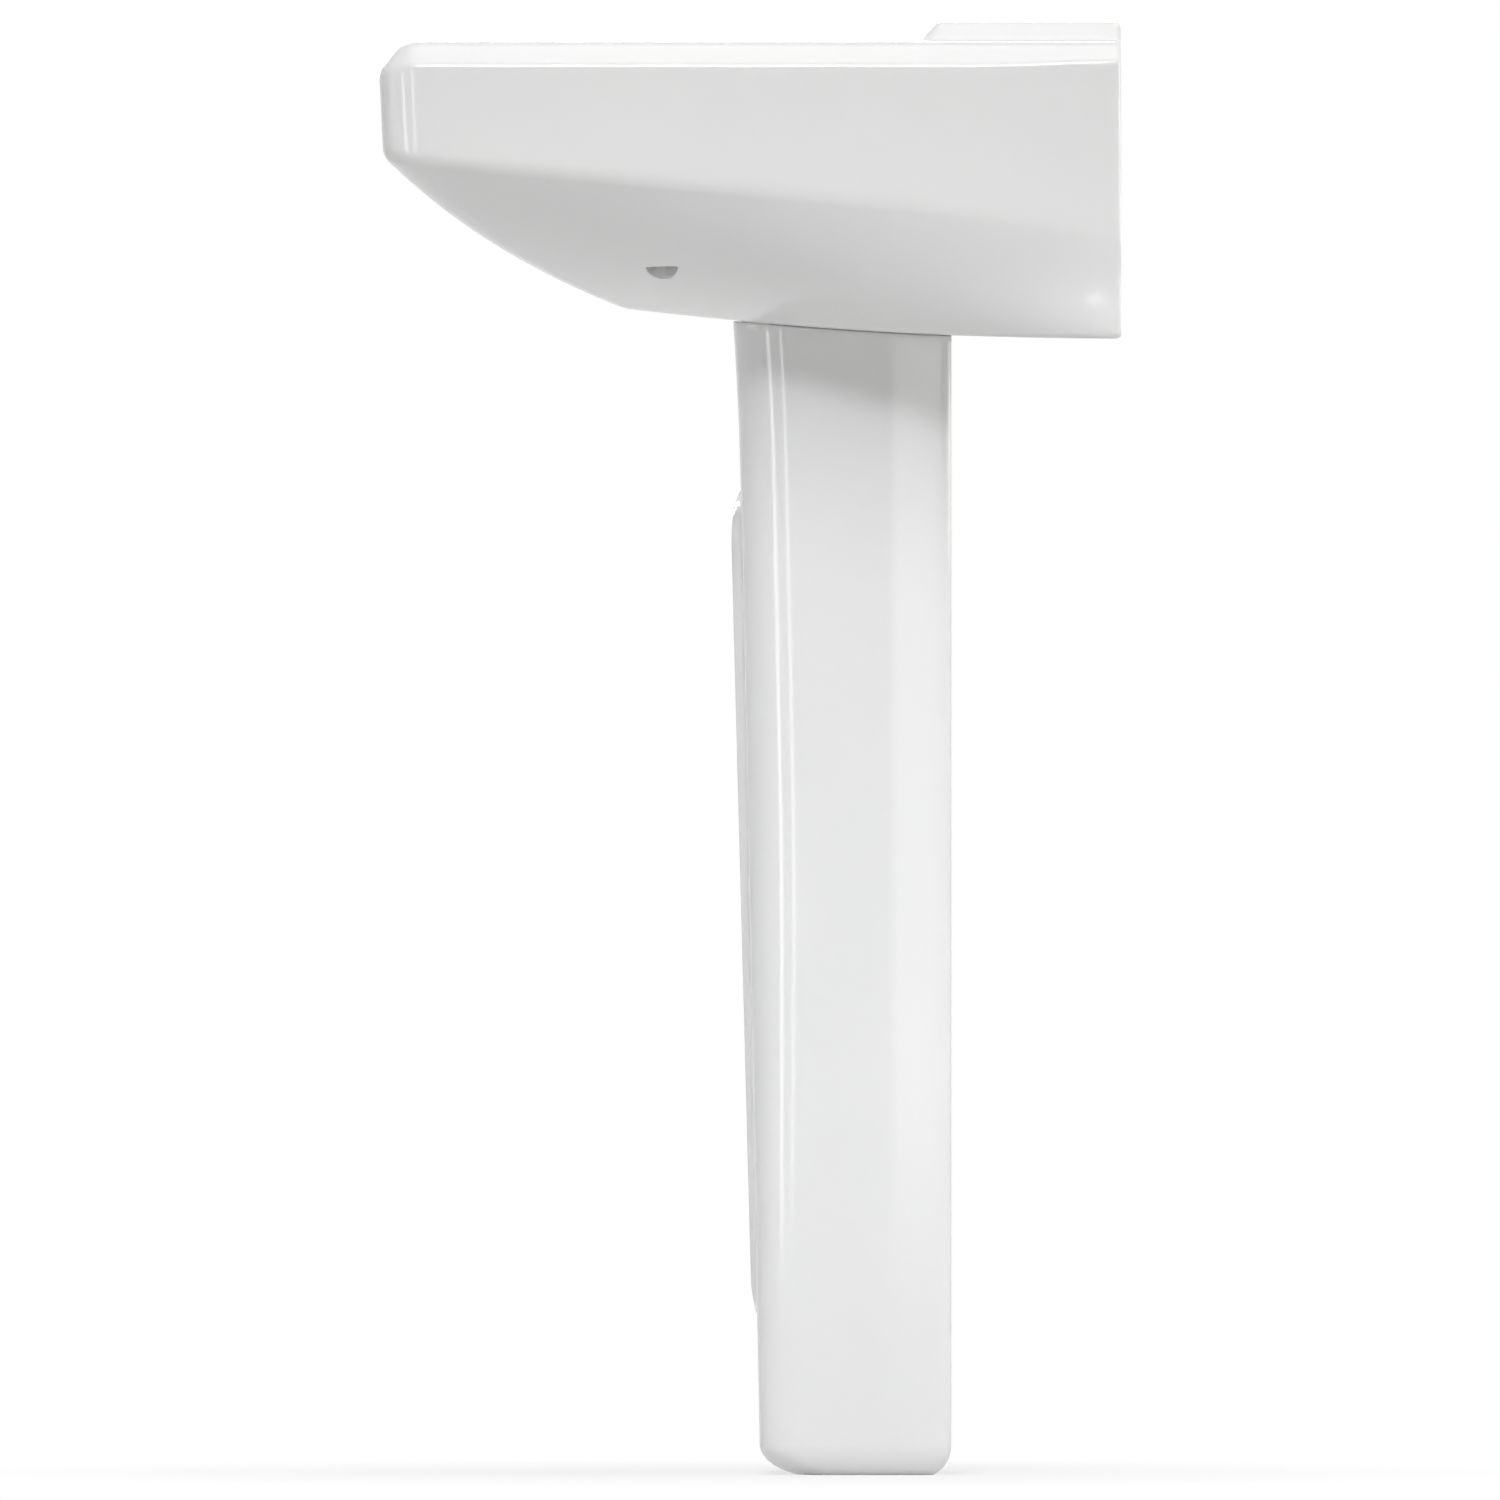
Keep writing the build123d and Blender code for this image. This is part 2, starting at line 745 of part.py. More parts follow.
tail_socket_radius = body_bore_radius - slip_clearance
tail_bore = tail_radius - tail_wall
with BuildPart() as tailpiece:
    turned(
        (tail_bore, seal_low - tail_length),
        (tail_radius, seal_low - tail_length),
        (tail_radius, seal_low - tail_shoulder),
        (tail_shoulder_radius, seal_low - tail_shoulder),
        (tail_shoulder_radius, seal_low),
        (tail_socket_radius, seal_low),
        (tail_socket_radius, body_end + tail_socket),
        (tail_bore, body_end + tail_socket),
    )
tailpiece.part.label = "tailpiece"

# Push cartridge, screwed into the spider

housing_top = spider_top + housing_length
floor_top = spider_top + housing_floor
with BuildPart() as cartridge_housing:
    turned(
        (0, spider_bottom),
        (housing_stub_radius, spider_bottom),
        (housing_stub_radius, spider_top),
        (housing_radius, spider_top),
        (housing_radius, housing_top),
        (housing_bore_radius, housing_top),
        (housing_bore_radius, floor_top),
        (0, floor_top),
    )
cartridge_housing.part.label = "cartridge_housing"

with BuildPart() as cartridge_collar:
    turned(
        (stem_radius + running_clearance, housing_top - collar_skirt),
        (housing_bore_radius - slip_clearance, housing_top - collar_skirt),
        (housing_bore_radius - slip_clearance, housing_top),
        (housing_radius, housing_top),
        (housing_radius, housing_top + collar_height),
        (stem_radius + running_clearance, housing_top + collar_height),
    )
cartridge_collar.part.label = "cartridge_collar"

# Stopper: it stands rest_gap above the flange when closed

seal_height = flange_top - seal_below_flange
plug_bottom = seal_height - seal_section_radius - plug_lip_height
groove_radius = seal_ring_radius - seal_section_radius
cap_base = flange_top + rest_gap
cap_side_top = cap_base + cap_edge
cap_top = cap_side_top + cap_dome
with BuildPart() as stopper_cap:
    with BuildSketch(Plane.XZ.offset(-drain_y)) as cap_profile:
        with BuildLine():
            dome_radius = (cap_radius**2 + cap_dome**2) / (2 * cap_dome)
            halfway = cap_top - (cap_radius / 2) ** 2 / (2 * dome_radius)
            ThreePointArc((0, cap_top), (cap_radius / 2, halfway), (cap_radius, cap_side_top))
            Polyline(
                (cap_radius, cap_side_top),
                (cap_radius, cap_base),
                (groove_radius, cap_base),
                (groove_radius, plug_bottom + plug_lip_height),
                (plug_lip_radius, plug_bottom + plug_lip_height),
                (plug_lip_radius, plug_bottom),
                (clear_stem, plug_bottom),
                (clear_stem, plug_bottom + stem_in_cap),
                (0, plug_bottom + stem_in_cap),
                (0, cap_top),
            )
        make_face()
    revolve(cap_profile.sketch, axis=drain_axis)
stopper_cap.part.label = "stopper_cap"

with BuildPart() as stopper_seal:
    with BuildSketch(Plane.XZ.offset(-drain_y)) as seal_profile:
        with Locations((seal_ring_radius, seal_height)):
            Circle(seal_section_radius)
    revolve(seal_profile.sketch, axis=drain_axis)
stopper_seal.part.label = "stopper_seal"

stem_top = plug_bottom + stem_in_cap
with BuildPart() as stopper_stem:
    ring_top = stem_top - stem_length
    turned((0, ring_top), (stem_radius, ring_top), (stem_radius, stem_top), (0, stem_top))
stopper_stem.part.label = "stopper_stem"

with BuildPart() as stem_lock_nut:
    hex_nut(lock_nut_across_flats, clear_stem, plug_bottom - lock_nut_height, plug_bottom)
stem_lock_nut.part.label = "stem_lock_nut"

rotor_top = housing_top - collar_skirt - stopper_travel - rest_gap
rotor_bottom = rotor_top - rotor_height
with BuildPart() as cartridge_rotor:
    ring(clear_stem, housing_bore_radius - rest_gap, rotor_bottom, rotor_top)
cartridge_rotor.part.label = "cartridge_rotor"

spring_length = rotor_bottom - floor_top - spring_wire
with BuildPart() as cartridge_spring:
    spring_plane = Plane(origin=(0, drain_y, floor_top + spring_wire / 2))
    with BuildLine(spring_plane) as coil:
        Helix(spring_length / spring_turns, spring_length, spring_mean_radius)
    with BuildSketch(Plane(origin=coil.line @ 0, z_dir=coil.line % 0)):
        Circle(spring_wire / 2)
    sweep(path=coil.line, is_frenet=True)
cartridge_spring.part.label = "cartridge_spring"

# Trim of the overflow hole, in a shallow recess of the bowl's rear wall

trim_back_y = bowl_rear_y + trim_recess
with BuildPart() as overflow_ring:
    with BuildSketch(Plane.XZ.offset(-trim_back_y)):
        with Locations((0, overflow_height)):
            Circle(trim_radius)
            Circle(trim_eye_radius, mode=Mode.SUBTRACT)
    extrude(amount=trim_thickness)
    fillet(overflow_ring.edges().group_by(Axis.Y)[0], trim_thickness / 3)
    with BuildSketch(Plane.XZ.offset(-trim_back_y)):
        with Locations((0, overflow_height)):
            Circle(trim_sleeve_radius)
            Circle(trim_eye_radius, mode=Mode.SUBTRACT)
    extrude(amount=-trim_sleeve_length)
overflow_ring.part.label = "overflow_ring"

with BuildPart() as overflow_grommet:
    with BuildSketch(Plane.XZ.offset(-trim_back_y)):
        with Locations((0, overflow_height)):
            Circle(overflow_hole_radius - slip_clearance)
            Circle(trim_sleeve_radius + slip_clearance, mode=Mode.SUBTRACT)
    extrude(amount=-grommet_length)
overflow_grommet.part.label = "overflow_grommet"

pieces = (
    basin,
    pedestal,
    seat_gasket,
    waste_body,
    flange_gasket,
    taper_seal,
    friction_washer,
    backnut,
    tailpiece,
    tailpiece_seal,
    cartridge_housing,
    cartridge_collar,
    cartridge_rotor,
    cartridge_spring,
    stopper_stem,
    stem_lock_nut,
    stopper_cap,
    stopper_seal,
    overflow_ring,
    overflow_grommet,
)

os.makedirs("parts", exist_ok=True)
for piece in pieces:
    export_step(piece.part, f"parts/{piece.part.label}.step")
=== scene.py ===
"""Looks of a pedestal sink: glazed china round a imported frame, with its chromed waste.

Lengths are in metres. +Z is up, +Y points to the wall and X runs across the width, as in
the frame. The china is computed as grids of points with numpy, from the frame's own boxes
and the sizes in the property groups below. Most grids cover the half with X above zero and
are mirrored.
"""

import json
import math

import bmesh
import bpy
import numpy as np
from bpy.props import FloatProperty, FloatVectorProperty, PointerProperty
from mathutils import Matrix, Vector
from mathutils.geometry import delaunay_2d_cdt


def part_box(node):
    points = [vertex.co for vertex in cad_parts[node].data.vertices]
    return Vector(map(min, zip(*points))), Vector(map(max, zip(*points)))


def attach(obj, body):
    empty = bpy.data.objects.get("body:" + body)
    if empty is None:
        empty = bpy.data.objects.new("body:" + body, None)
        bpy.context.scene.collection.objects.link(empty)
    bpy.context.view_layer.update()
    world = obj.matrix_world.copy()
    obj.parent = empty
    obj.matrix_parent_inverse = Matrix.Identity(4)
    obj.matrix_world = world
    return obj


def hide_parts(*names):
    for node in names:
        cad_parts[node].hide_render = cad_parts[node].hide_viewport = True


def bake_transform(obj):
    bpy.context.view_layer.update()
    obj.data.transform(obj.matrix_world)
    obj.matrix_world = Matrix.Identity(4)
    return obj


bl_info = {
    "name": "Pedestal sink looks",
    "version": (1, 0, 0),
    "blender": (4, 5, 0),
    "location": "View3D > Sidebar > Sink",
    "description": "Builds the glazed china, the chromed waste and the studio of a pedestal sink",
    "category": "Add Mesh",
}

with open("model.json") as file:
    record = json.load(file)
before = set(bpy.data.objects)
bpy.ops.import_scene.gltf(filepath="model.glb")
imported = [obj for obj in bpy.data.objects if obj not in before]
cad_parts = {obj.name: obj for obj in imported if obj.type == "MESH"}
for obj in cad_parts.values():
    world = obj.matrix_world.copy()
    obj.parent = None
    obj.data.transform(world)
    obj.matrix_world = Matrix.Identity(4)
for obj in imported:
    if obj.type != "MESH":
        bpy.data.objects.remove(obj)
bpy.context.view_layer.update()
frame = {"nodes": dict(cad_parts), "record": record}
MM = 0.001
QUARTER = math.pi / 2
SEAM = 0.003 * MM  # points of two patches that are closer than this are one point
SHARP_ANGLE = math.radians(35)  # edges that turn by more than this are shaded sharp
ALONG_Y = (0, 2, 1)

# Lowest and highest corners of the fittings that the china is fitted to
SEAL_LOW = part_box("taper_seal")[0]
GASKET_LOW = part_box("flange_gasket")[0]
FLANGE_LOW, FLANGE_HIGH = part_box("waste_body")
RING_LOW, RING_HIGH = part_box("overflow_ring")


# ---------------------------------------------------------------- sizes


def length(name, description, millimetres):
    """A length property whose default is given in millimetres."""
    return FloatProperty(
        name=name, description=description, default=millimetres * MM, unit="LENGTH", precision=4
    )


class SinkHullSizes(bpy.types.PropertyGroup):
    """Sizes of the basin's outside and of its hollow."""

    wall: length("Wall plane", "Distance of the wall from the middle", 225)
    half_width: length("Half width", "Half the basin's width at its rim", 280)
    deck: length("Deck height", "Height of the flat rim above the floor", 873)
    bevel_in: length("Bevel inwards", "How far the rim's bevel runs inwards", 15)
    bevel_down: length("Bevel downwards", "How far the rim's bevel runs down", 18)
    bevel_low_edge: length("Bevel's low edge", "Length of the soft edge below the bevel", 3.1)
    bevel_top_edge: length("Bevel's top edge", "Length of the soft edge above the bevel", 8.4)
    bevel_lift: length("Bevel lift", "How much higher the bevel's low edge is at the sides", 3.6)
    bevel_rise: length("Bevel rise", "How much the bevel's low edge rises to the wall", 2.2)
    front_corner: length("Front corners", "Radius of the two front corners", 25)
    draft: length("Side draft", "How far the sides draw in from the rim to the crease", 2.5)
    crease_front: length("Crease at the front", "Height of the crease at the front", 801.5)
    crease_wall: length("Crease at the wall", "Height of the crease at the wall", 760)
    foot_front: length("Foot setback", "From the rim's front to the foot's front edge", 148.5)
    foot_front_height: length("Foot height at its front", "Height of the foot's front edge", 710.7)
    foot_wall_height: length("Foot height at the wall", "Height of the foot at the wall", 692.3)
    foot_front_half: length("Foot half width, front", "Half width of the foot's front edge", 85)
    foot_wall_half: length("Foot half width, wall", "Half width of the foot at the wall", 275)
    foot_corner: length("Foot corners", "Radius of the foot's front corners", 6)
    foot_edge: length("Foot edge", "Length of the soft edge round the foot", 4.5)
    bulge: length("Flank bulge", "How far the flanks swell outwards half-way down", 10.4)
    cove: length("Cove", "Depth of the hollow below the crease near the wall", 4)
    wall_edge: length("Wall edge", "Depth of the rounded edge round the back", 4)
    thickness: length("China thickness", "Thickness of the hull's walls", 9)
    deck_thickness: length("Deck thickness", "Thickness of the deck", 11)
    back_thickness: length("Back thickness", "Thickness of the back wall", 16)
    foot_thickness: length("Foot thickness", "Thickness of the foot plate", 11)
    opening_depth: length("Foot opening", "From the wall to the front of the opening", 90)
    opening_margin: length("Opening margin", "From the opening to the foot's edge", 30)


class SinkBowlSizes(bpy.types.PropertyGroup):
    """Sizes of the bowl, of the ledge and of the holes in the basin."""

    half_width: length("Bowl half width", "Half the bowl's width at the deck", 228)
    front: length("Bowl front", "From the drain's axis to the bowl's front", 216)
    rear: length("Bowl rear", "From the drain's axis to the bowl's rear", 56)
    depth: length("Bowl depth", "Depth of the bowl below the deck", 128)
    corner: length("Bowl corners", "Radius of the bowl's corners in plan", 62)
    lip: length("Bowl lip", "Radius of the lip round the bowl", 7)
    rear_lip: length("Bowl lip, rear", "Radius of the lip along the ledge", 3.6)
    thickness: length("Bowl thickness", "Thickness of the bowl's wall", 8.5)
    boss: length("Drain boss", "Radius of the boss under the drain", 33)
    drain_hole: length("Drain hole", "Radius of the drain hole", 23)
    recess: length("Drain recess", "Radius of the recess for the flange", 33.5)
    ledge_depth: length("Ledge depth", "Depth of the raised ledge at the wall", 123.5)
    ledge_inset: length("Ledge inset", "From the rim's side to the ledge's side", 34)
    ledge_rise: length("Ledge rise", "Height of the ledge above the deck", 11.5)
    ledge_corner: length("Ledge corners", "Radius of the ledge's corners in plan", 17)
    tap_hole: length("Tap hole", "Radius of the hole in the ledge", 17.5)
    tap_from_wall: length("Tap hole from wall", "From the wall to the tap hole's axis", 57)
    bolt_hole: length("Bolt holes", "Radius of the two holes in the back", 8)
    bolt_spacing: length("Bolt spacing", "Distance between the two holes in the back", 280)
    bolt_height: length("Bolt height", "Height of the holes in the back", 812)
    vent: length("Vent holes", "Half the length of the vent hole in each flank", 9.6)
    vent_depth: length("Vent depth", "How far a vent hole runs across the flank", 17)
    vent_lean: FloatProperty(
        name="Vent lean",
        description="How far a vent's straight side leans with the flank",
        default=0.46,
    )
    vent_x: length("Vents, across", "From the middle to a vent's middle", 204.5)
    vent_y: length("Vents, front to back", "Place of the vents along Y", -51.5)
    overflow: length("Overflow hole", "Radius of the overflow hole", 11.5)
    overflow_depth: length("Overflow depth", "Depth of the hole behind the overflow", 22)


class SinkPedestalSizes(bpy.types.PropertyGroup):
    """Sizes of the pedestal."""

    rear: length("Rear edge", "Place of the rear edges along Y", 122.7)
    depth: length("Depth at the floor", "From the rear edge to the front at the floor", 116.5)
    lean: FloatProperty(name="Lean", description="Lean of the front face", default=0.0199)
    flare: length("Flare", "How far the front flares out near the top", 2.6)
    flare_from: length("Flare start", "Height where the flare starts", 600)
    half_base: length("Half width, floor", "Half width at the floor", 88)
    half_top: length("Half width, top", "Half width at the top", 97)
    corner_base: length("Front corners, floor", "Radius of the front corners at the floor", 25)
    corner_top: length("Front corners, top", "Radius of the front corners at the top", 36)
    turn_length: length("Turned strip", "Depth of the rear strips that turn inwards", 36)
    turn_in: length("Turn inwards", "How far the rear strips turn inwards", 4)
    rear_edge: length("Rear edge round", "Length of the soft rear edges", 4.5)
    wall: length("Wall", "Thickness of the china", 11)
    foot_front: length("Foot round, front", "How far the foot draws in at the front", 23)
    foot_rear: length("Foot round, rear", "How far the foot draws in at the rear", 11)
    foot_side: length("Foot round, side", "How far the foot draws in at the sides", 12)
    foot_height: length("Foot round, height", "Height of the foot's rounding", 19)
    flange_height: length("Flange height", "Height of the inner flange at the floor", 14)
    flange_width: length("Flange width", "Width of the inner flange at the floor", 16)
    lug_width: length("Lug width", "Width of the lugs for the floor screws", 34)
    lug_depth: length("Lug depth", "Depth of the lugs for the floor screws", 40)
    screw_hole: length("Screw holes", "Radius of the holes for the floor screws", 5.5)
    screw_spacing: length("Screw spacing", "Distance between the floor screws", 116)
    screw_from_rear: length("Screws from the rear", "From the rear edge to the screws", 34)
    seat_gap: length("Seat gap", "Gap between the pedestal and the basin's foot", 0.3)
    panel_top: length("Panel top", "Top of the raised panel", 600)
    panel_full: length("Panel full, top", "Where the panel's top end is at its full rise", 567)
    panel_low_full: length("Panel full, bottom", "Where its bottom end is at its full rise", 125)
    panel_bottom: length("Panel bottom", "Bottom of the raised panel", 97)
    panel_half_top: length("Panel half width, top", "Half the panel's width at its top", 50)
    panel_half_bottom: length("Panel half width, bottom", "Half its width at its bottom", 42)
    panel_rise_top: length("Panel rise, top", "How far the panel stands out at its top", 6.2)
    panel_rise_bottom: length("Panel rise, bottom", "How far it stands out below", 3.4)
    panel_top_corner: length("Panel corners, top", "Radius of the panel's top corners", 32)
    panel_low_corner: length("Panel corners, bottom", "Radius of its bottom corners", 16)
    panel_edge: length("Panel edge", "Width of the soft edge along the panel's sides", 9)


# ---------------------------------------------------------------- surfaces


def shares(count, first=0.0, last=1.0):
    """Evenly spaced shares from first to last."""
    return np.linspace(first, last, count)


def smooth(share):
    """S-shaped step from 0 to 1: three squares less two cubes of the share, kept in range."""
    share = np.clip(share, 0, 1)
    return share * share * (3 - 2 * share)


def bezier(first, corner, last, share):
    """Quadratic curve that leaves first towards corner and reaches last coming from it."""
    return first * (1 - share) ** 2 + corner * 2 * share * (1 - share) + last * share**2


def parabola(first, middle, last, share):
    """Curve through first, middle and last at shares 0, 1/2 and 1."""
    return (
        first * (1 - share) * (1 - 2 * share)
        + middle * 4 * share * (1 - share)
        + last * share * (2 * share - 1)
    )


def soft_corner(first, corner, last, count=7):
    """Points of a rounded corner, rows of coordinates, from first to last."""
    first, corner, last = (np.asarray(point, float) for point in (first, corner, last))
    return bezier(first, corner, last, shares(count)[:, None])


def line(first, last, count):
    """Evenly spaced points from first to last."""
    return np.linspace(np.asarray(first, float), np.asarray(last, float), count)


def join(*blocks):
    """Join blocks of rows, each starting where the one before it ends, into one."""
    return np.concatenate([blocks[0]] + [block[1:] for block in blocks[1:]])


def mirror(points):
    """The mirror image of points across the plane X = 0."""
    return points * np.array((-1.0, 1.0, 1.0))


def whole(half):
    """Close a half loop, whose ends lie on X = 0, with its mirror image.

    The points run along the last axis but one, so rows of half loops are closed together.
    """
    back = mirror(half)[..., ::-1, :]
    return np.concatenate([half, back[..., 1:-1, :]], axis=-2)


def edge_normals(loop, axes):
    """Unit normals of a closed loop, in the plane of two axes, that point to its inside."""
    flat = loop[:, axes]
    run = np.roll(flat, -1, axis=0) - flat
    run /= np.linalg.norm(run, axis=1, keepdims=True)
    mean = run + np.roll(run, 1, axis=0)
    mean /= np.linalg.norm(mean, axis=1, keepdims=True)
    after = np.roll(flat, -1, axis=0)
    area = np.sum(flat[:, 0] * after[:, 1] - after[:, 0] * flat[:, 1])
    return np.stack([-mean[:, 1], mean[:, 0]], axis=1) * np.sign(area)


def lathe(profile, centre, angles, along_y=False):
    """Rows of loops turned about an axis through centre, parallel to Z or to Y.

    The point of a row at an angle is the centre plus the row's radius times the angle's
    cosine and sine, at the row's height. profile holds the rows' radii and heights.
    """
    radius, height = np.asarray(profile, float).T[..., None]
    across = centre[0] + radius * np.cos(angles)
    depth = centre[1] + radius * np.sin(angles)
    turned = np.stack([across, depth, height + 0 * angles], axis=-1)
    return turned[..., ALONG_Y] if along_y else turned


def turns(count):
    """Evenly spaced angles of a full turn."""
    return np.arange(count) * (4 * QUARTER / count)


def ring_order(loop, start):
    """Places of a loop's points from start on, in the order that runs anticlockwise."""
    x, y = loop.T
    area = np.sum(x * np.roll(y, -1) - np.roll(x, -1) * y)
    order = start + np.arange(len(loop))
    return (order if area > 0 else order[::-1]).tolist()


def solid_mesh(name, points, faces, **values):
    """A mesh with its seams closed and its faces turned outwards, and its points' values."""
    mesh = bpy.data.meshes.new(name)
    mesh.from_pydata(points.tolist(), [], faces)
    for label, numbers in values.items():
        attribute = mesh.attributes.new(label, "FLOAT", "POINT")
        attribute.data.foreach_set("value", numbers.astype(np.float32))
    shape = bmesh.new()
    shape.from_mesh(mesh)
    bmesh.ops.remove_doubles(shape, verts=shape.verts, dist=SEAM)
    bmesh.ops.recalc_face_normals(shape, faces=shape.faces)
    open_edges = sum(not edge.is_manifold for edge in shape.edges)
    shape.to_mesh(mesh)
    shape.free()
    if open_edges:
        raise RuntimeError(f"{name} has {open_edges} open edges")
    mesh.polygons.foreach_set("use_smooth", np.ones(len(mesh.polygons), bool))
    return mesh


class Surface:
    """Patches of points and faces that are joined into one mesh."""

    def __init__(self):
        self.points, self.quads, self.triangles, self.values = [], [], [], []
        self.count = 0
        self.glaze = 1.0

    def add(self, points, faces, mirrored=False):
        """Take in a patch of points and faces, and its mirror image where it has one."""
        points = np.asarray(points, float).reshape(-1, 3)
        kind = self.quads if faces.shape[1] == 4 else self.triangles
        kind.append(faces + self.count)
        self.points.append(points)
        self.values.append(np.full(len(points), self.glaze))
        self.count += len(points)
        if mirrored:
            self.add(mirror(points), faces[:, ::-1])

    def grid(self, points, closed=False, mirrored=False):
        """Take in a grid of points, rows by columns, as four-sided faces."""
        rows, columns = points.shape[:2]
        index = np.arange(rows * columns).reshape(rows, columns)
        if closed:
            index = np.concatenate([index, index[:, :1]], axis=1)
        corners = (index[:-1, :-1], index[:-1, 1:], index[1:, 1:], index[1:, :-1])
        self.add(points, np.stack(corners, axis=-1).reshape(-1, 4), mirrored)

    def fill(self, outside, *holes, axes=(0, 1), lift=None, spacing=0.0):
        """Triangulate the region between closed loops, seen along the axis left out.

        With a spacing, a lattice of points is put inside the region too, and lift gives
        their coordinate along the axis left out.
        """
        loops = (outside, *holes)
        points = np.concatenate(loops)
        starts = np.cumsum([0] + [len(loop) for loop in loops])
        rings = [ring_order(loop[:, axes], start) for loop, start in zip(loops, starts)]
        if spacing:
            low, high = outside[:, axes].min(axis=0), outside[:, axes].max(axis=0)
            sides = [np.arange(a + 0.37 * spacing, b, spacing) for a, b in zip(low, high)]
            lattice = np.stack(np.meshgrid(*sides), axis=-1).reshape(-1, 2)
            near = np.linalg.norm(lattice[:, None] - points[None, :, axes], axis=-1)
            lattice = lattice[near.min(axis=1) > 0.4 * spacing]
            inner = np.zeros((len(lattice), 3))
            inner[:, axes] = lattice
            inner[:, 3 - sum(axes)] = lift(lattice[:, 1])
            points = np.concatenate([points, inner])
        flat = [Vector(pair) for pair in points[:, axes].tolist()]
        found = delaunay_2d_cdt(flat, [], rings, 1, 1e-7)
        place = np.array([sources[0] for sources in found[3]])
        in_outside_only = [sources == [0] for sources in found[5]]
        faces = place[np.array(found[2])[in_outside_only]]
        used, faces = np.unique(faces, return_inverse=True)
        self.add(points[used], faces.reshape(-1, 3))

    def mesh(self, name):
        """Join the patches into a solid mesh whose sharp edges stay sharp."""
        faces = [np.concatenate(kind).tolist() for kind in (self.quads, self.triangles)]
        glaze = np.concatenate(self.values)
        mesh = solid_mesh(name, np.concatenate(self.points), faces[0] + faces[1], glaze=glaze)
        mesh.set_sharp_from_angle(angle=SHARP_ANGLE)
        return mesh


# ---------------------------------------------------------------- holes in grids


def cubic_surface(points):
    """Least-squares surface of the third degree through points, as a function of a plan."""
    middle = points[:, :2].mean(axis=0)
    reach = np.ptp(points[:, :2], axis=0).max()
    powers = [(i, j) for i in range(4) for j in range(4 - i)]

    def terms(plan):
        """Products of powers of x and y, up to the third degree together."""
        x, y = np.moveaxis((plan - middle) / reach, -1, 0)
        return np.stack([x**i * y**j for i, j in powers], axis=-1)

    weights = np.linalg.lstsq(terms(points[:, :2]), points[:, 2], rcond=None)[0]
    return lambda plan: terms(plan) @ weights


def cut_out(surface, grid, centre, reach, mirrored=False, closed=False):
    """Take in a grid less the block of cells within reach of a point of it, and return the block.

    The rest is taken in as the four parts of the grid round the block.
    """
    near = np.linalg.norm(grid - centre, axis=-1)
    row, column = np.unravel_index(np.argmin(near), near.shape)
    row_step = np.linalg.norm(grid[row, column] - grid[row - 1, column])
    column_step = np.linalg.norm(grid[row, column] - grid[row, column - 1])
    rows, columns = math.ceil(reach / row_step), math.ceil(reach / column_step)
    top, low, right, left = row - rows, row + rows, column + columns, column - columns
    surface.grid(grid[: top + 1], closed, mirrored)
    surface.grid(grid[low:], closed, mirrored)
    middle = grid[top : low + 1]
    surface.grid(middle[:, : left + 1], False, mirrored)
    rest = middle[:, right:]
    if closed:
        rest = np.concatenate([rest, middle[:, :1]], axis=1)
    surface.grid(rest, False, mirrored)
    return middle[:, left : right + 1]


def block_edge(block):
    """The closed line of points round a block of a grid."""
    sides = (block[0, :-1], block[:-1, -1], block[-1, :0:-1], block[:0:-1, 0])
    return np.concatenate(sides)


def hole_rows(block, centre, outline, count, order=(0, 1, 2)):
    """Rows of points that lead from a cut-out block's edge to a hole's outline.

    Seen along the last axis of order, each edge point moves to the hole along a straight
    line, to the outline's point at the same angle. Its height is that of a cubic surface
    through the block, plus its own difference from it, which fades away on the way.
    """
    edge = block_edge(block)[:, order]
    surface = cubic_surface(block.reshape(-1, 3)[:, order])
    plan = edge[:, :2] - centre
    angle = np.arctan2(plan[:, 1], plan[:, 0])
    share = shares(count)[:, None, None]
    target = centre + outline(angle)[:, None] * np.stack([np.cos(angle), np.sin(angle)], -1)
    flat = edge[:, :2] + (target - edge[:, :2]) * share
    spare = edge[:, 2] - surface(edge[:, :2])
    height = surface(flat) + spare * (1 - share[..., 0])
    return np.concatenate([flat, height[..., None]], axis=-1)[..., order], surface


# ---------------------------------------------------------------- basin


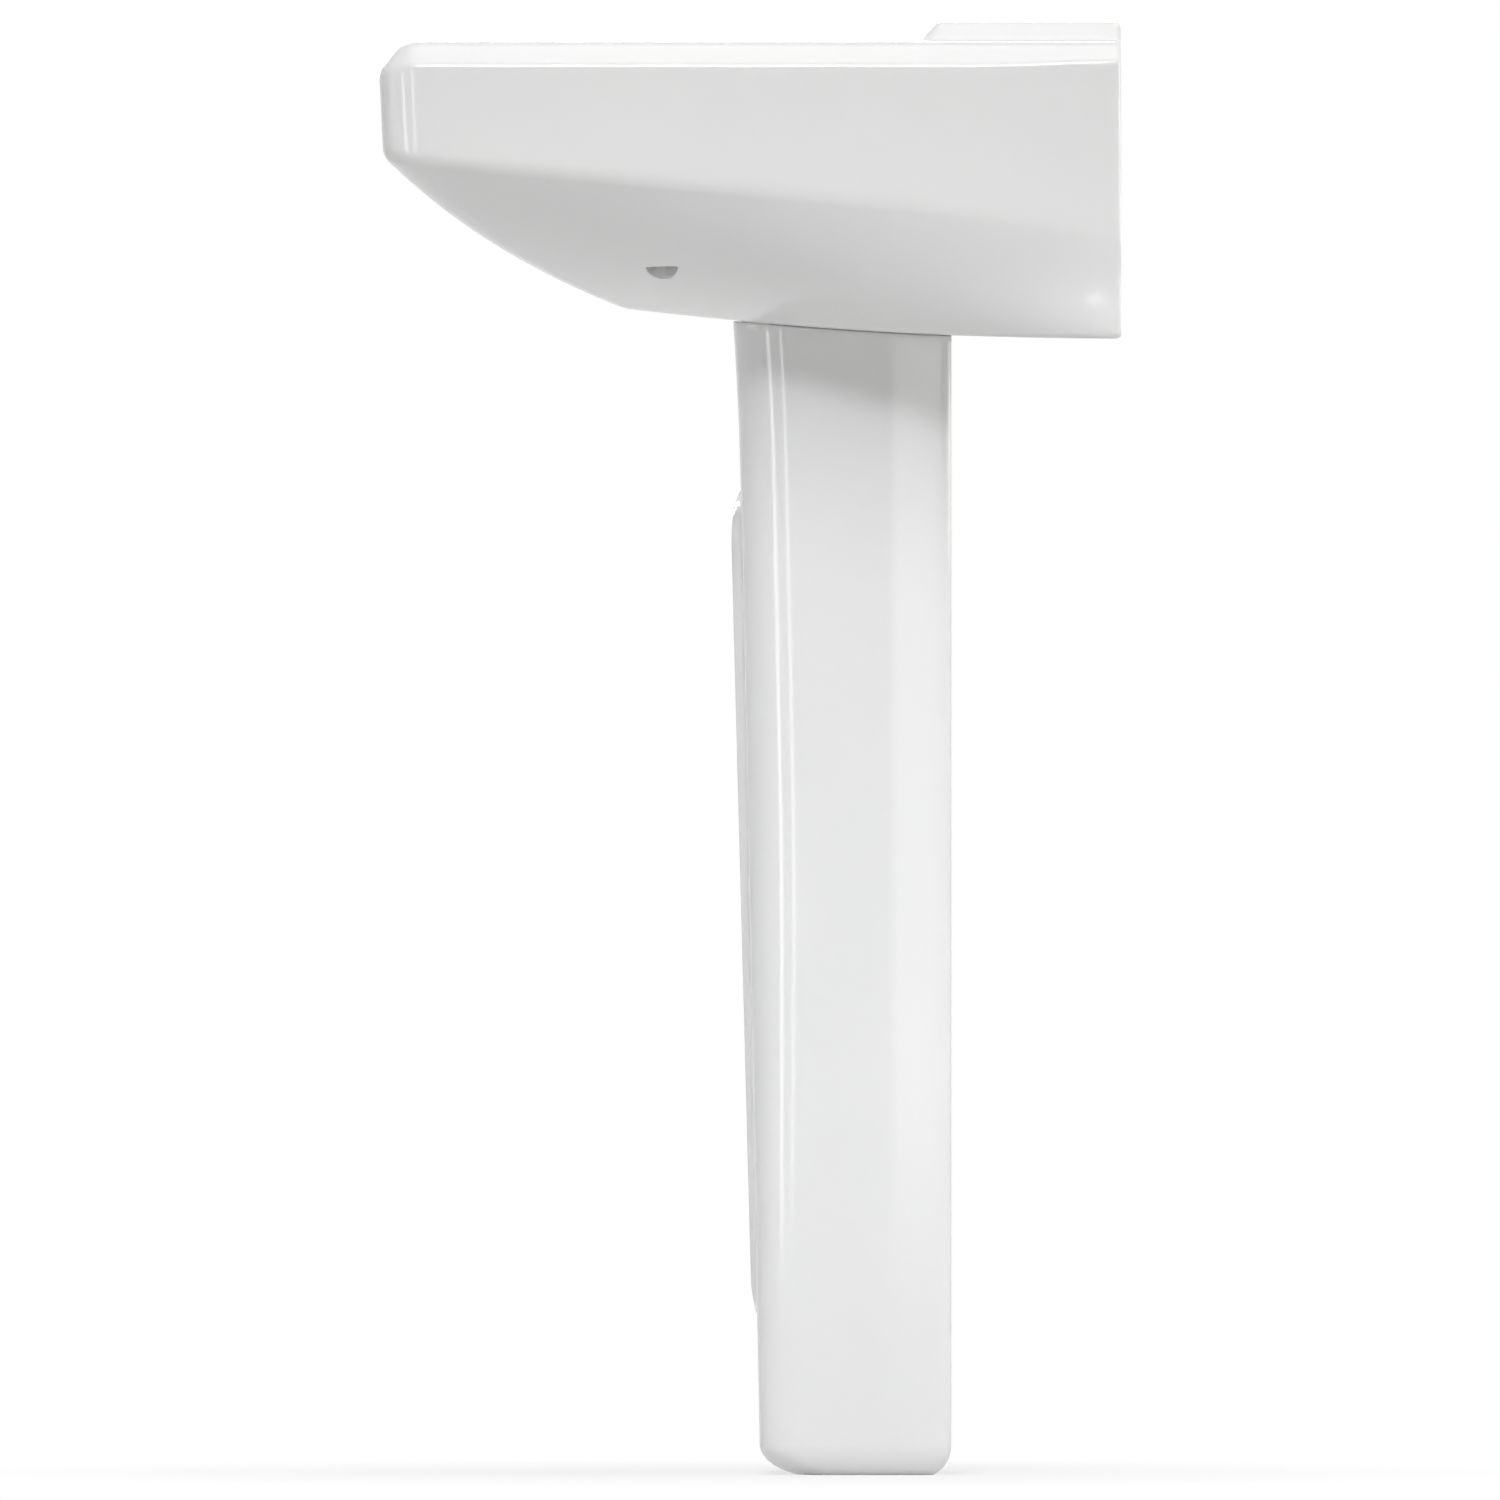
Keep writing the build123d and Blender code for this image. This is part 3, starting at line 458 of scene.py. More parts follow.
class Hull:
    """The basin's hull: U-shaped outlines from the foot to the rim, drawn in by inset.

    An outline is worked out from six values: the y and z of its front, its climb along Y,
    its half widths at the front and past the wall, and the radius of its corners.
    """

    overrun = 40 * MM  # how far past the wall the far half widths are taken
    flank_angle, slope_angle, slope_end_angle = np.radians((26, 31, 20))
    touch_y = 80 * MM  # where the foot's tangent is taken that starts the front slope
    flank_end_share = 0.093  # where the crease's rounding starts, towards the flank's middle
    side_start_share = 0.12  # and where it ends, towards the rim
    cove_from, cove_run = 50 * MM, 130 * MM  # where the cove starts along Y, and fades in over
    rise_run = 90 * MM  # length over which the bevel rises to the wall

    def __init__(self, sizes, inset=0.0, top=None, columns=(28, 11, 111)):
        self.sizes = sizes
        self.wall = sizes.wall
        self.front = shares(columns[0])
        self.arc, self.side = shares(columns[1])[1:], shares(columns[2])[1:]
        foot_front = sizes.foot_front - sizes.wall
        drop = sizes.foot_front_height - sizes.foot_wall_height
        self.curve = drop / (self.wall - foot_front) ** 2
        crease_y = sizes.draft - self.wall
        crease_climb = (sizes.crease_wall - sizes.crease_front) / (self.wall - crease_y)
        touch_climb = -2 * self.curve * (self.wall - self.touch_y)

        def touch_height(y):
            """Height of the tangent to the foot's parabola, lowered by a millimetre."""
            return self.foot_height(self.touch_y) - MM + touch_climb * (y - self.touch_y)

        slope = self.slope_angle
        spare = sizes.foot_front_height - touch_height(foot_front)
        end_y = foot_front + spare / (math.tan(self.slope_end_angle) + touch_climb)
        low_y = end_y + inset / math.sin(slope)
        low_half = self.foot_half_width(end_y) - inset / math.sin(self.flank_angle)
        far_half = self.foot_half_width(self.wall + self.overrun) - inset
        low = (low_y, touch_height(low_y), touch_climb, low_half, far_half, sizes.foot_corner)
        corner = max(sizes.front_corner - inset, sizes.foot_corner)
        half = sizes.half_width - sizes.draft - inset
        lift = inset * (1 / math.cos(slope) - math.tan(slope))
        crease_z = sizes.crease_front + crease_climb * inset + lift
        crease = (crease_y + inset, crease_z, crease_climb, half, half, corner)
        self.low, self.crease = np.array(low), np.array(crease)
        self.upper = self.rim(inset, sizes.deck - sizes.bevel_down if top is None else top)
        rise, run = crease_z - low[1], low_y - crease[0]
        outward = sizes.bulge / math.hypot(rise, run)
        self.middle = (self.low + self.crease) / 2
        self.middle[:2] -= (rise * outward, run * outward)
        self.flank_end = self.crease + (self.middle - self.crease) * self.flank_end_share
        self.side_start = self.crease + (self.upper - self.crease) * self.side_start_share

    def foot_height(self, y):
        """Height of the basin's bottom face: a parabola that is level at the wall."""
        return self.sizes.foot_wall_height + self.curve * (self.wall - y) ** 2

    def foot_half_width(self, y):
        """Half width of the foot at y: a straight line from its front edge to the wall."""
        share = (y - self.sizes.foot_front + self.wall) / (2 * self.wall - self.sizes.foot_front)
        widening = self.sizes.foot_wall_half - self.sizes.foot_front_half
        return self.sizes.foot_front_half + share * widening

    def rim(self, inset, height):
        """Values of a level outline drawn in by inset from the rim."""
        half = self.sizes.half_width - inset
        corner = max(self.sizes.front_corner - inset, 0.5 * MM)
        return np.array([inset - self.wall, height, 0, half, half, corner])

    def outline(self, values, end_y):
        """Right half of outlines: the front, the corner's arc, and the leaning side to end_y."""
        fronts, arcs = len(self.front), len(self.arc)
        share = np.concatenate([self.front, self.arc, self.side])
        values = np.broadcast_to(values, (len(values), len(share), 6))
        y, z, climb, half, far_half, corner = np.moveaxis(values, -1, 0)
        lean = np.arctan2(far_half - half, self.wall + self.overrun - y)
        turn = QUARTER - lean
        tangent = corner * np.tan(turn / 2)
        arc_x = half - tangent + corner * np.sin(turn * share)
        arc_y = y + corner * (1 - np.cos(turn * share))
        start_y = y + corner * (1 - np.cos(turn))
        side_y = start_y + (end_y - start_y) * share
        side_x = half + (side_y - y) * np.tan(lean)
        place = np.arange(len(share))
        on_front, on_arc = place < fronts, place < fronts + arcs
        x = np.where(on_front, share * (half - tangent), np.where(on_arc, arc_x, side_x))
        depth = np.where(on_front, y, np.where(on_arc, arc_y, side_y))
        return np.stack([x, depth, z + climb * (depth - y)], axis=-1)

    def inward(self, distance):
        """Steps in plan that draw a foot outline in: square to it, and across at its end."""
        lean = math.atan2(self.low[4] - self.low[3], self.wall + self.overrun - self.low[0])
        turned = np.concatenate([0 * self.front, self.arc, 0 * self.side + 1]) * (QUARTER - lean)
        along = np.concatenate([0 * self.front, 0 * self.arc, -math.tan(lean) * self.side])
        across = along * np.cos(turned) - np.sin(turned)
        back = along * np.sin(turned) + np.cos(turned)
        return distance * np.stack([across, back, 0 * turned], axis=-1)

    def flank(self, share, end_y):
        """The flank at shares of its height: a parabola, hollowed below the crease at the rear."""
        values = parabola(self.low, self.middle, self.flank_end, share[..., None])
        points = self.outline(values, end_y)
        rearward = smooth((points[..., 1] - self.cove_from) / self.cove_run)
        hollow = np.sin(math.pi * np.clip(1 - share, 0, 1) ** 0.75) ** 2
        points[..., 0] -= self.sizes.cove * rearward * hollow
        return points

    def bevel_lift(self, y):
        """How much higher the bevel's low edge is than at the front.

        It climbs by one S-shaped step round the corner and by a second one to the wall.
        """
        corner = smooth((y + self.wall) / self.sizes.front_corner)
        rear = smooth((y - self.wall) / self.rise_run + 1)
        return self.sizes.bevel_lift * corner + self.sizes.bevel_rise * rear

    def foot_shares(self, end_y, lift=0.0):
        """Shares of the flank's height at which its columns meet the foot, raised by lift."""
        trial = shares(500, 0, 0.6)
        points = self.flank(trial[:, None], end_y)
        above = points[..., 2] - self.foot_height(points[..., 1]) - lift
        first = np.argmax(above > 0, axis=0)
        column = np.arange(above.shape[1])
        low, high = above[first - 1, column], above[first, column]
        return trial[first - 1] + trial[1] * low / (low - high)

    def crease_rows(self, end_y, count):
        """The rounded crease between the flank and the drafted sides."""
        share = shares(count)[:, None, None]
        return self.outline(bezier(self.flank_end, self.crease, self.side_start, share), end_y)

    def on_foot(self, points, lift=0.0):
        """Points put on the foot's surface, raised by lift."""
        height = self.foot_height(points[..., 1:2]) + lift
        return np.concatenate([points[..., :2], height], axis=-1)


def hull_skin(hull, end_y):
    """The outside from the foot to the deck: soft edge, flank, crease, side and bevel."""
    sizes = hull.sizes
    meet = hull.foot_shares(end_y)
    edge = hull.flank(meet[None], end_y)[0]
    further = hull.flank(meet[None] + 0.01, end_y)[0]
    start = meet + 0.01 * sizes.foot_edge / np.linalg.norm(further - edge, axis=-1)
    flank = hull.flank(start + (1 - start) * shares(56)[:, None], end_y)
    inner = hull.on_foot(edge + hull.inward(sizes.foot_edge))
    support = hull.on_foot(edge + hull.inward(sizes.foot_edge + MM))
    rounding = bezier(inner, edge, flank[0], shares(8)[:, None, None])
    foot = np.concatenate([support[None], rounding])

    low, top = sizes.deck - sizes.bevel_down, sizes.deck
    slant = np.array((sizes.bevel_in, sizes.bevel_down))
    slant /= np.linalg.norm(slant)
    low_leg, top_leg = sizes.bevel_low_edge * slant, sizes.bevel_top_edge * slant
    side_leg = 1.3 * sizes.bevel_low_edge
    drawn_in = sizes.draft * side_leg / (low - sizes.crease_front)
    side_end = hull.rim(drawn_in, low - side_leg)
    bevel_start = hull.rim(low_leg[0], low + low_leg[1])
    bevel_end = hull.rim(sizes.bevel_in - top_leg[0], top - top_leg[1])
    deck_start = hull.rim(sizes.bevel_in + sizes.bevel_top_edge, top)
    deck_support = hull.rim(sizes.bevel_in + sizes.bevel_top_edge + MM, top)
    values = join(
        line(hull.side_start, side_end, 12),
        soft_corner(side_end, hull.rim(0, low), bevel_start),
        line(bevel_start, bevel_end, 5),
        soft_corner(bevel_end, hull.rim(sizes.bevel_in, top), deck_start, 12),
        np.array([deck_start, deck_support]),
    )
    rim = hull.outline(values[:, None, :], end_y)
    share = np.interp(values[:, 1], (values[0, 1], low, top), (0, 1, 0))
    rim[..., 2] += share[:, None] * hull.bevel_lift(rim[..., 1])
    return foot, flank, join(hull.crease_rows(end_y, 10), rim)


def ledge_skin(hull, bowl, end_y):
    """The raised ledge from the deck to its top: two soft edges and a 45 degree slope."""
    deck, rise = hull.sizes.deck, bowl.ledge_rise
    half = hull.sizes.half_width - bowl.ledge_inset
    base_leg, top_leg = 2.2 * MM, 3 * MM

    def at(inset, climb):
        """Values of the ledge's outline, drawn in by inset and climb above the deck."""
        front = hull.wall - bowl.ledge_depth + inset
        corner = max(bowl.ledge_corner - inset, 0.5 * MM)
        return (front, deck + climb, 0, half - inset, half - inset, corner)

    base, top = base_leg * math.sin(QUARTER / 2), top_leg * math.sin(QUARTER / 2)
    values = join(
        np.array([at(-base_leg - 0.5 * MM, 0), at(-base_leg, 0)]),
        soft_corner(at(-base_leg, 0), at(0, 0), at(base, base)),
        line(at(base, base), at(rise - top, rise - top), 4),
        soft_corner(at(rise - top, rise - top), at(rise, rise), at(rise + top_leg, rise), 8),
        np.array([at(rise + top_leg, rise), at(rise + top_leg + MM, rise)]),
    )
    return hull.outline(values[:, None, :], end_y)


DRAIN_CIRCLE = 36 * MM  # radius of the bowl's last loop
SHELL_CIRCLE = 44 * MM  # radius of the last loop of its underside


class Bowl:
    """The bowl: rounded rectangles about the drain's axis that shrink with depth.

    At a share of the depth, the front and the sides have (1 - share^3.2)^(1/2.2) of their
    size at the deck, and the rear has (1 - share^6)^(1/5). Low down the loops turn into
    circles round the drain.
    """

    floor_level = 0.995  # share of the depth at which the loops are circles
    circle_level = 0.8  # and at which they start to turn into them

    def __init__(self, sizes, deck, drain_y, columns=(24, 14, 22, 12, 32)):
        self.sizes, self.deck, self.drain_y = sizes, deck, drain_y
        self.floor = deck - sizes.depth * self.floor_level
        starts = np.cumsum((0, *columns[:-1]))
        part = np.repeat(np.arange(5), columns)
        run = (np.arange(len(part)) - starts[part]) / np.array(columns)[part]
        self.part, self.run = np.append(part, 4), np.append(run, 1.0)

    @staticmethod
    def shrink(level):
        """The share of its size at the deck that the bowl's front has at a level."""
        return (1 - level**3.2) ** (1 / 2.2)

    def loops(self, level, grow=0.0, circle=DRAIN_CIRCLE):
        """Closed loops at levels, grown outwards and, towards the floor, downwards."""
        sizes, run = self.sizes, self.run
        share = self.shrink(level) + 0 * run
        half, front = sizes.half_width * share + grow, sizes.front * share + grow
        rear = sizes.rear * (1 - level**6) ** 0.2 + grow
        corner = np.minimum(sizes.corner * share + grow, 0.45 * (front + rear))
        ahead, across = half - corner, corner * np.sin(QUARTER * run)
        back = corner * (1 - np.cos(QUARTER * run))
        side_y = corner - front + run * (front + rear - 2 * corner)
        part = [self.part == place for place in range(5)]
        x = np.select(part, [run * ahead, ahead + across, half, half - back, (1 - run) * ahead])
        y = np.select(part, [-front, back - front, side_y, rear - corner + across, rear + 0 * x])
        rounding = smooth((level - self.circle_level) / (self.floor_level - self.circle_level))
        scale = 1 + rounding * (circle / np.hypot(x, y) - 1)
        z = self.deck - self.sizes.depth * level - grow * level**2 + 0 * x
        return whole(np.stack([x * scale, self.drain_y + y * scale, z], axis=-1))

    def spread(self, count, start, reach):
        """Levels from start to the floor, evenly spaced along the front's profile."""
        trial = shares(2000, 0, self.floor_level)
        share = self.shrink(trial)
        steps = np.hypot(np.diff(share) * reach, np.diff(trial) * self.sizes.depth)
        along = np.concatenate([[0], np.cumsum(steps)])
        even = np.interp(shares(count) * along[-1], along, trial) / self.floor_level
        return start + (self.floor_level - start) * even[:, None]

    def skin(self):
        """The lip, whose rows make a quarter circle, and the wall down to the drain."""
        sizes = self.sizes
        plan = self.loops(np.zeros((1, 1)))[0, : len(self.run), 1] - self.drain_y
        rear = smooth((plan - sizes.rear + 54 * MM) / (40 * MM))
        lip = sizes.lip + (sizes.rear_lip - sizes.lip) * rear
        turn = QUARTER * shares(9)[:, None]
        level, grow = lip * (1 - np.cos(turn)) / sizes.depth, lip * (1 - np.sin(turn))
        edge = self.loops(level, grow)
        support = self.loops(level[:1], grow[:1] + 0.5 * MM)
        wall = self.loops(self.spread(96, level[-1], sizes.front))
        return np.concatenate([support, edge]), wall


def rounded_path(corners, leg, spacing=8 * MM):
    """A path in plan through corners, the inner ones rounded off with legs of one length."""
    corners = [np.array(corner, float) for corner in corners]
    parts, place = [], corners[0]
    for before, corner, after in zip(corners, corners[1:], corners[2:]):
        first, last = (
            corner + (other - corner) * leg / np.linalg.norm(other - corner)
            for other in (before, after)
        )
        parts.append(line(place, first, 2 + int(np.linalg.norm(first - place) / spacing)))
        parts.append(soft_corner(first, corner, last, 5))
        place = last
    parts.append(line(place, corners[-1], 2 + int(np.linalg.norm(corners[-1] - place) / spacing)))
    return join(*parts)


SEAL_BODY = 10 * MM  # height of the taper seal's body, which the boss stands on
GLAZED_DRAIN_ROWS = 11  # rows of the drain's profile above the end of the glaze


def drain_profile(bowl, floor):
    """Radii and heights from the bowl's floor through the recess and the hole to the boss."""
    seat = GASKET_LOW.z
    recess, hole, boss = bowl.recess, bowl.drain_hole, bowl.boss
    bottom = SEAL_LOW.z + SEAL_BODY
    return join(
        soft_corner((DRAIN_CIRCLE, floor), (recess, floor), (recess, floor - 2 * MM), 6),
        line((recess, floor - 2 * MM), (recess, seat), 2),
        line((recess, seat), (hole + 0.8 * MM, seat), 3),
        soft_corner((hole + 0.8 * MM, seat), (hole, seat), (hole, seat - 0.8 * MM), 4),
        line((hole, seat - 0.8 * MM), (hole, bottom + 0.5 * MM), 8),
        soft_corner((hole, bottom + 0.5 * MM), (hole, bottom), (hole + 0.5 * MM, bottom), 4),
        line((hole + 0.5 * MM, bottom), (boss - 0.5 * MM, bottom), 3),
        soft_corner((boss - 0.5 * MM, bottom), (boss, bottom), (boss, bottom + 0.4 * MM), 4),
    )


# How far from a hole's middle the cells of a grid are cut away for it
VENT_REACH, INNER_VENT_REACH, OVERFLOW_REACH = 23 * MM, 24 * MM, 21 * MM


# Soft edge round the back: its leg at the foot, what it gains as it climbs the sides from a
# height over a run, and what it gains as it nears the deck
BACK_LEGS = (2.0 * MM, 1.3 * MM, 1.2 * MM)
BACK_CLIMB_FROM, BACK_CLIMB_RUN, BACK_CROWN_RUN = 720 * MM, 120 * MM, 10 * MM


def nearest(grid, place):
    """The point of a grid that is nearest, in plan, to a place."""
    near = np.linalg.norm(grid[..., :2] - place, axis=-1)
    return grid[np.unravel_index(np.argmin(near), near.shape)]


VENT_OUTER = 0.28  # place of a vent's straight side, as a share of the vent's depth
VENT_AHEAD, VENT_BEHIND = 1.2, 0.8  # its lengths to the front and the rear, in half lengths
VENT_CORNER = 8  # a higher power gives a sharper corner at the ends of the straight side


def vent_outline(bowl, angle, grow=0.0):
    """Radius at an angle of a half ellipse, longer to the front, with a straight outer side.

    The ellipse's centre lies on the straight side, which is a little outwards of the vent's
    middle. The radius is the smaller of those to the ellipse and to the straight side, with a
    soft corner between them: a high power of the inverse radius is the sum of both of theirs.
    The outline leans with the flank, so that its straight side lies level.
    """
    along = np.sin(angle)
    across = np.cos(angle) - bowl.vent_lean * along
    outer, depth = VENT_OUTER * bowl.vent_depth + grow, bowl.vent_depth + grow
    length = np.where(along < 0, VENT_AHEAD, VENT_BEHIND) * bowl.vent + grow
    square = (across / depth) ** 2 + (along / length) ** 2
    half = -outer * across / depth**2
    spare = (outer / depth) ** 2 - 1
    curved = (-half + np.sqrt(half**2 - square * spare)) / square
    straight = np.maximum(across, 0) / outer
    return (curved ** -float(VENT_CORNER) + straight ** float(VENT_CORNER)) ** (-1 / VENT_CORNER)


def build_basin(sizes, bowl):
    """The basin as one closed skin: outside, bowl, holes and hollow."""
    surface = Surface()
    hull = Hull(sizes)
    wall, deck = sizes.wall, sizes.deck
    end_y, inner_y = wall - sizes.wall_edge, wall - sizes.back_thickness
    ceiling, ledge_top = deck - sizes.deck_thickness, deck + bowl.ledge_rise
    drain_y = (FLANGE_LOW.y + FLANGE_HIGH.y) / 2
    drain = (0, drain_y)

    foot = hull.foot_height

    def floor_height(y):
        """Height of the hollow's floor, one foot thickness above the foot."""
        return foot(y) + sizes.foot_thickness

    # Outside of the hull, ledge and vents
    edge_rows, flank, above = hull_skin(hull, end_y)
    ledge = ledge_skin(hull, bowl, end_y)
    surface.grid(edge_rows, mirrored=True)
    surface.grid(above, mirrored=True)
    surface.grid(ledge, mirrored=True)
    vent = np.array((bowl.vent_x, bowl.vent_y))
    block = cut_out(surface, flank, nearest(flank, vent), VENT_REACH, mirrored=True)
    rim = 1.2 * MM
    rows, height = hole_rows(block, vent, lambda angle: vent_outline(bowl, angle, rim), 9)
    surface.grid(rows, closed=True, mirrored=True)
    angle = np.arctan2(*(rows[-1][:, 1::-1] - vent[::-1]).T)
    ring = vent + vent_outline(bowl, angle)[:, None] * np.stack([np.cos(angle), np.sin(angle)], -1)
    vent_rim = np.concatenate([ring, height(ring)[:, None]], axis=-1)
    raised = vent_rim + (0, 0, rim)
    vent_lip = bezier(rows[-1], vent_rim, raised, shares(5)[:, None, None])
    surface.grid(vent_lip, closed=True, mirrored=True)

    # Bowl, with the overflow in its rear wall, and the drain
    basin_bowl = Bowl(bowl, deck, drain_y)
    lip, bowl_wall = basin_bowl.skin()
    surface.grid(lip, closed=True)
    eye = np.array((0, (RING_LOW.z + RING_HIGH.z) / 2))
    rear = drain_y + bowl.rear
    block = cut_out(surface, bowl_wall, (0, rear, eye[1]), OVERFLOW_REACH, closed=True)
    recess, edge, hole = (RING_HIGH.x - RING_LOW.x) / 2 + 0.3 * MM, 0.4 * MM, bowl.overflow
    rows, _ = hole_rows(block, eye, lambda angle: recess + edge + 0 * angle, 8, ALONG_Y)
    surface.grid(rows, closed=True)
    angle = np.arctan2(rows[-1][:, 2] - eye[1], rows[-1][:, 0])
    seat = rear + 0.6 * MM
    start = rows[-1][:, 1].mean()
    profile = join(
        soft_corner((recess + edge, start), (recess, start), (recess, seat), 4),
        line((recess, seat), (hole + edge, seat), 3),
        soft_corner((hole + edge, seat), (hole, seat), (hole, seat + edge), 4),
        line((hole, seat + edge), (hole, rear + bowl.overflow_depth), 6),
    )
    tube = lathe(profile, eye, angle, along_y=True)
    tube[0] = rows[-1]
    surface.grid(tube, closed=True)
    surface.fill(tube[-1], axes=(0, 2))
    last = bowl_wall[-1]
    angle = np.arctan2(last[:, 1] - drain_y, last[:, 0])
    boss = lathe(drain_profile(bowl, basin_bowl.floor), drain, angle)
    surface.grid(boss[:GLAZED_DRAIN_ROWS], closed=True)
    surface.glaze = 0.0
    surface.grid(boss[GLAZED_DRAIN_ROWS - 1 :], closed=True)
    boss_end = boss[-1].copy()
    boss_end[:, 2] = foot(boss_end[:, 1])
    surface.grid(np.stack([boss[-1], boss_end]), closed=True)
    surface.glaze = 1.0

    # Deck, ledge top with the tap hole, and the rounded edge round the back
    tap = (0, wall - bowl.tap_from_wall)
    tap_rim = join(
        soft_corner(
            (bowl.tap_hole + 1.5 * MM, ledge_top),
            (bowl.tap_hole, ledge_top),
            (bowl.tap_hole, ledge_top - 1.5 * MM),
        ),
        line((bowl.tap_hole, ledge_top - 1.5 * MM), (bowl.tap_hole, ceiling), 5),
    )
    tap_tube = lathe(tap_rim, tap, turns(64))
    surface.grid(tap_tube, closed=True)
    surface.fill(whole(np.concatenate([above[-1], ledge[0, ::-1]])), lip[0])
    top_line = line(ledge[-1, -1], (0, end_y, ledge_top), 30)
    surface.fill(whole(join(ledge[-1], top_line)), tap_tube[0])
    foot_line = line((0, end_y, foot(end_y)), edge_rows[0, -1], 40)
    column = join(edge_rows[:, -1], flank[:, -1], above[:, -1])
    step = np.concatenate([above[-1:, -1], ledge[:, -1]])
    contour = whole(join(foot_line, column, step, top_line))
    inwards = edge_normals(contour, (0, 2))
    climb = smooth((contour[:, 2] - BACK_CLIMB_FROM) / BACK_CLIMB_RUN)
    crown = smooth((contour[:, 2] - deck) / BACK_CROWN_RUN + 1)
    leg = (BACK_LEGS[0] + BACK_LEGS[1] * climb + BACK_LEGS[2] * crown)[:, None]
    turn = (QUARTER * shares(7))[:, None, None]
    wall_rows = np.repeat(contour[None], len(turn), axis=0)
    wall_rows[..., ::2] += inwards * leg * (1 - np.cos(turn))
    wall_rows[..., 1:2] += sizes.wall_edge * np.sin(turn)
    back = wall_rows[-1:].copy()
    back[..., ::2] += inwards * 0.5 * MM
    surface.grid(wall_rows, closed=True)
    surface.glaze = 0.0
    surface.grid(np.concatenate([wall_rows[-1:], back]), closed=True)
    bolts = [(side * bowl.bolt_spacing / 2, bowl.bolt_height) for side in (-1, 1)]
    bolt_rim = join(
        soft_corner(
            (bowl.bolt_hole + MM, wall), (bowl.bolt_hole, wall), (bowl.bolt_hole, wall - MM), 4
        ),
        line((bowl.bolt_hole, wall - MM), (bowl.bolt_hole, inner_y), 4),
    )
    bolt_tubes = [lathe(bolt_rim, bolt, turns(40), along_y=True) for bolt in bolts]
    for bolt_tube in bolt_tubes:
        surface.grid(bolt_tube, closed=True)
    surface.fill(back[0], *(bolt_tube[0] for bolt_tube in bolt_tubes), axes=(0, 2))

    # Foot, with the opening at its rear
    front_y = wall - sizes.opening_depth
    rear_y = inner_y - 2.5 * MM
    half = rounded_path(
        [
            (0, front_y),
            (hull.foot_half_width(front_y) - sizes.opening_margin, front_y),
            (hull.foot_half_width(rear_y) - sizes.opening_margin, rear_y),
            (0, rear_y),
        ],
        5 * MM,
    )
    opening = whole(np.concatenate([half, 0 * half[:, :1]], axis=-1))
    outer = opening.copy()
    outer[:, :2] -= edge_normals(opening, (0, 1)) * 1.5 * MM
    rings = [hull.on_foot(outer), hull.on_foot(opening), hull.on_foot(opening, 1.5 * MM)]
    inner_ring = hull.on_foot(opening, sizes.foot_thickness)
    rim_rows = bezier(*rings, shares(5)[:, None, None])
    surface.grid(np.concatenate([rim_rows, inner_ring[None]]), closed=True)
    foot_loop = whole(join(edge_rows[0], foot_line[::-1]))
    surface.glaze = 1.0
    surface.fill(foot_loop, boss_end, rings[0], lift=foot, spacing=12 * MM)
    surface.glaze = 0.0

    # Hollow: inner skin, back, ceiling, floor, the bowl's underside and the overflow's channel
    inner = Hull(sizes, sizes.thickness, ceiling, columns=(12, 6, 40))
    meet = inner.foot_shares(inner_y, sizes.foot_thickness)
    inner_flank = inner.flank(meet + (1 - meet) * shares(20)[:, None], inner_y)
    inner_flank[0] = inner.on_foot(inner_flank[0], sizes.foot_thickness)
    values = line(inner.side_start, inner.upper, 5)
    inner_above = join(inner.crease_rows(inner_y, 4), inner.outline(values[:, None], inner_y))
    surface.grid(inner_above, mirrored=True)
    middle = nearest(inner_flank, vent)
    block = cut_out(surface, inner_flank, middle, INNER_VENT_REACH, mirrored=True)
    vent_end = raised.copy()
    vent_end[:, 2] = cubic_surface(block.reshape(-1, 3))(raised[:, :2])
    surface.glaze = 1.0
    surface.grid(np.stack([raised, vent_end]), closed=True, mirrored=True)
    surface.glaze = 0.0
    surface.fill(block_edge(block), vent_end)
    surface.fill(mirror(block_edge(block)), mirror(vent_end))
    grow = bowl.thickness
    drop = sizes.deck_thickness
    start = (math.sqrt(bowl.depth**2 + 4 * grow * drop) - bowl.depth) / (2 * grow)
    shell_bowl = Bowl(bowl, deck, drain_y, columns=(12, 7, 11, 6, 16))
    shell = shell_bowl.loops(shell_bowl.spread(36, start, bowl.front), grow, SHELL_CIRCLE)
    angle = np.arctan2(shell[-1][:, 1] - drain_y, shell[-1][:, 0])
    low = shell[-1, 0, 2]
    boss_top = ((SHELL_CIRCLE, low), (bowl.boss, low), (bowl.boss, low - 11 * MM))
    pillar = lathe(soft_corner(*boss_top, 5), drain, angle)
    pillar_end = pillar[-1].copy()
    pillar_end[:, 2] = floor_height(pillar_end[:, 1])
    surface.grid(np.concatenate([shell, pillar[1:], pillar_end[None]]), closed=True)
    floor_line = line(inner_flank[0, -1], (0, inner_y, floor_height(inner_y)), 20)
    surface.fill(
        whole(join(inner_flank[0], floor_line)),
        pillar_end,
        inner_ring,
        lift=floor_height,
        spacing=20 * MM,
    )
    ceiling_line = line(inner_above[-1, -1], (0, inner_y, ceiling), 12)
    surface.fill(whole(join(inner_above[-1], ceiling_line)), shell[0], tap_tube[-1])
    inner_column = join(inner_flank[:, -1], inner_above[:, -1])
    back_loop = whole(join(floor_line[::-1], inner_column, ceiling_line))
    surface.fill(back_loop, *(bolt_tube[-1] for bolt_tube in bolt_tubes), axes=(0, 2))
    return surface


# ---------------------------------------------------------------- pedestal


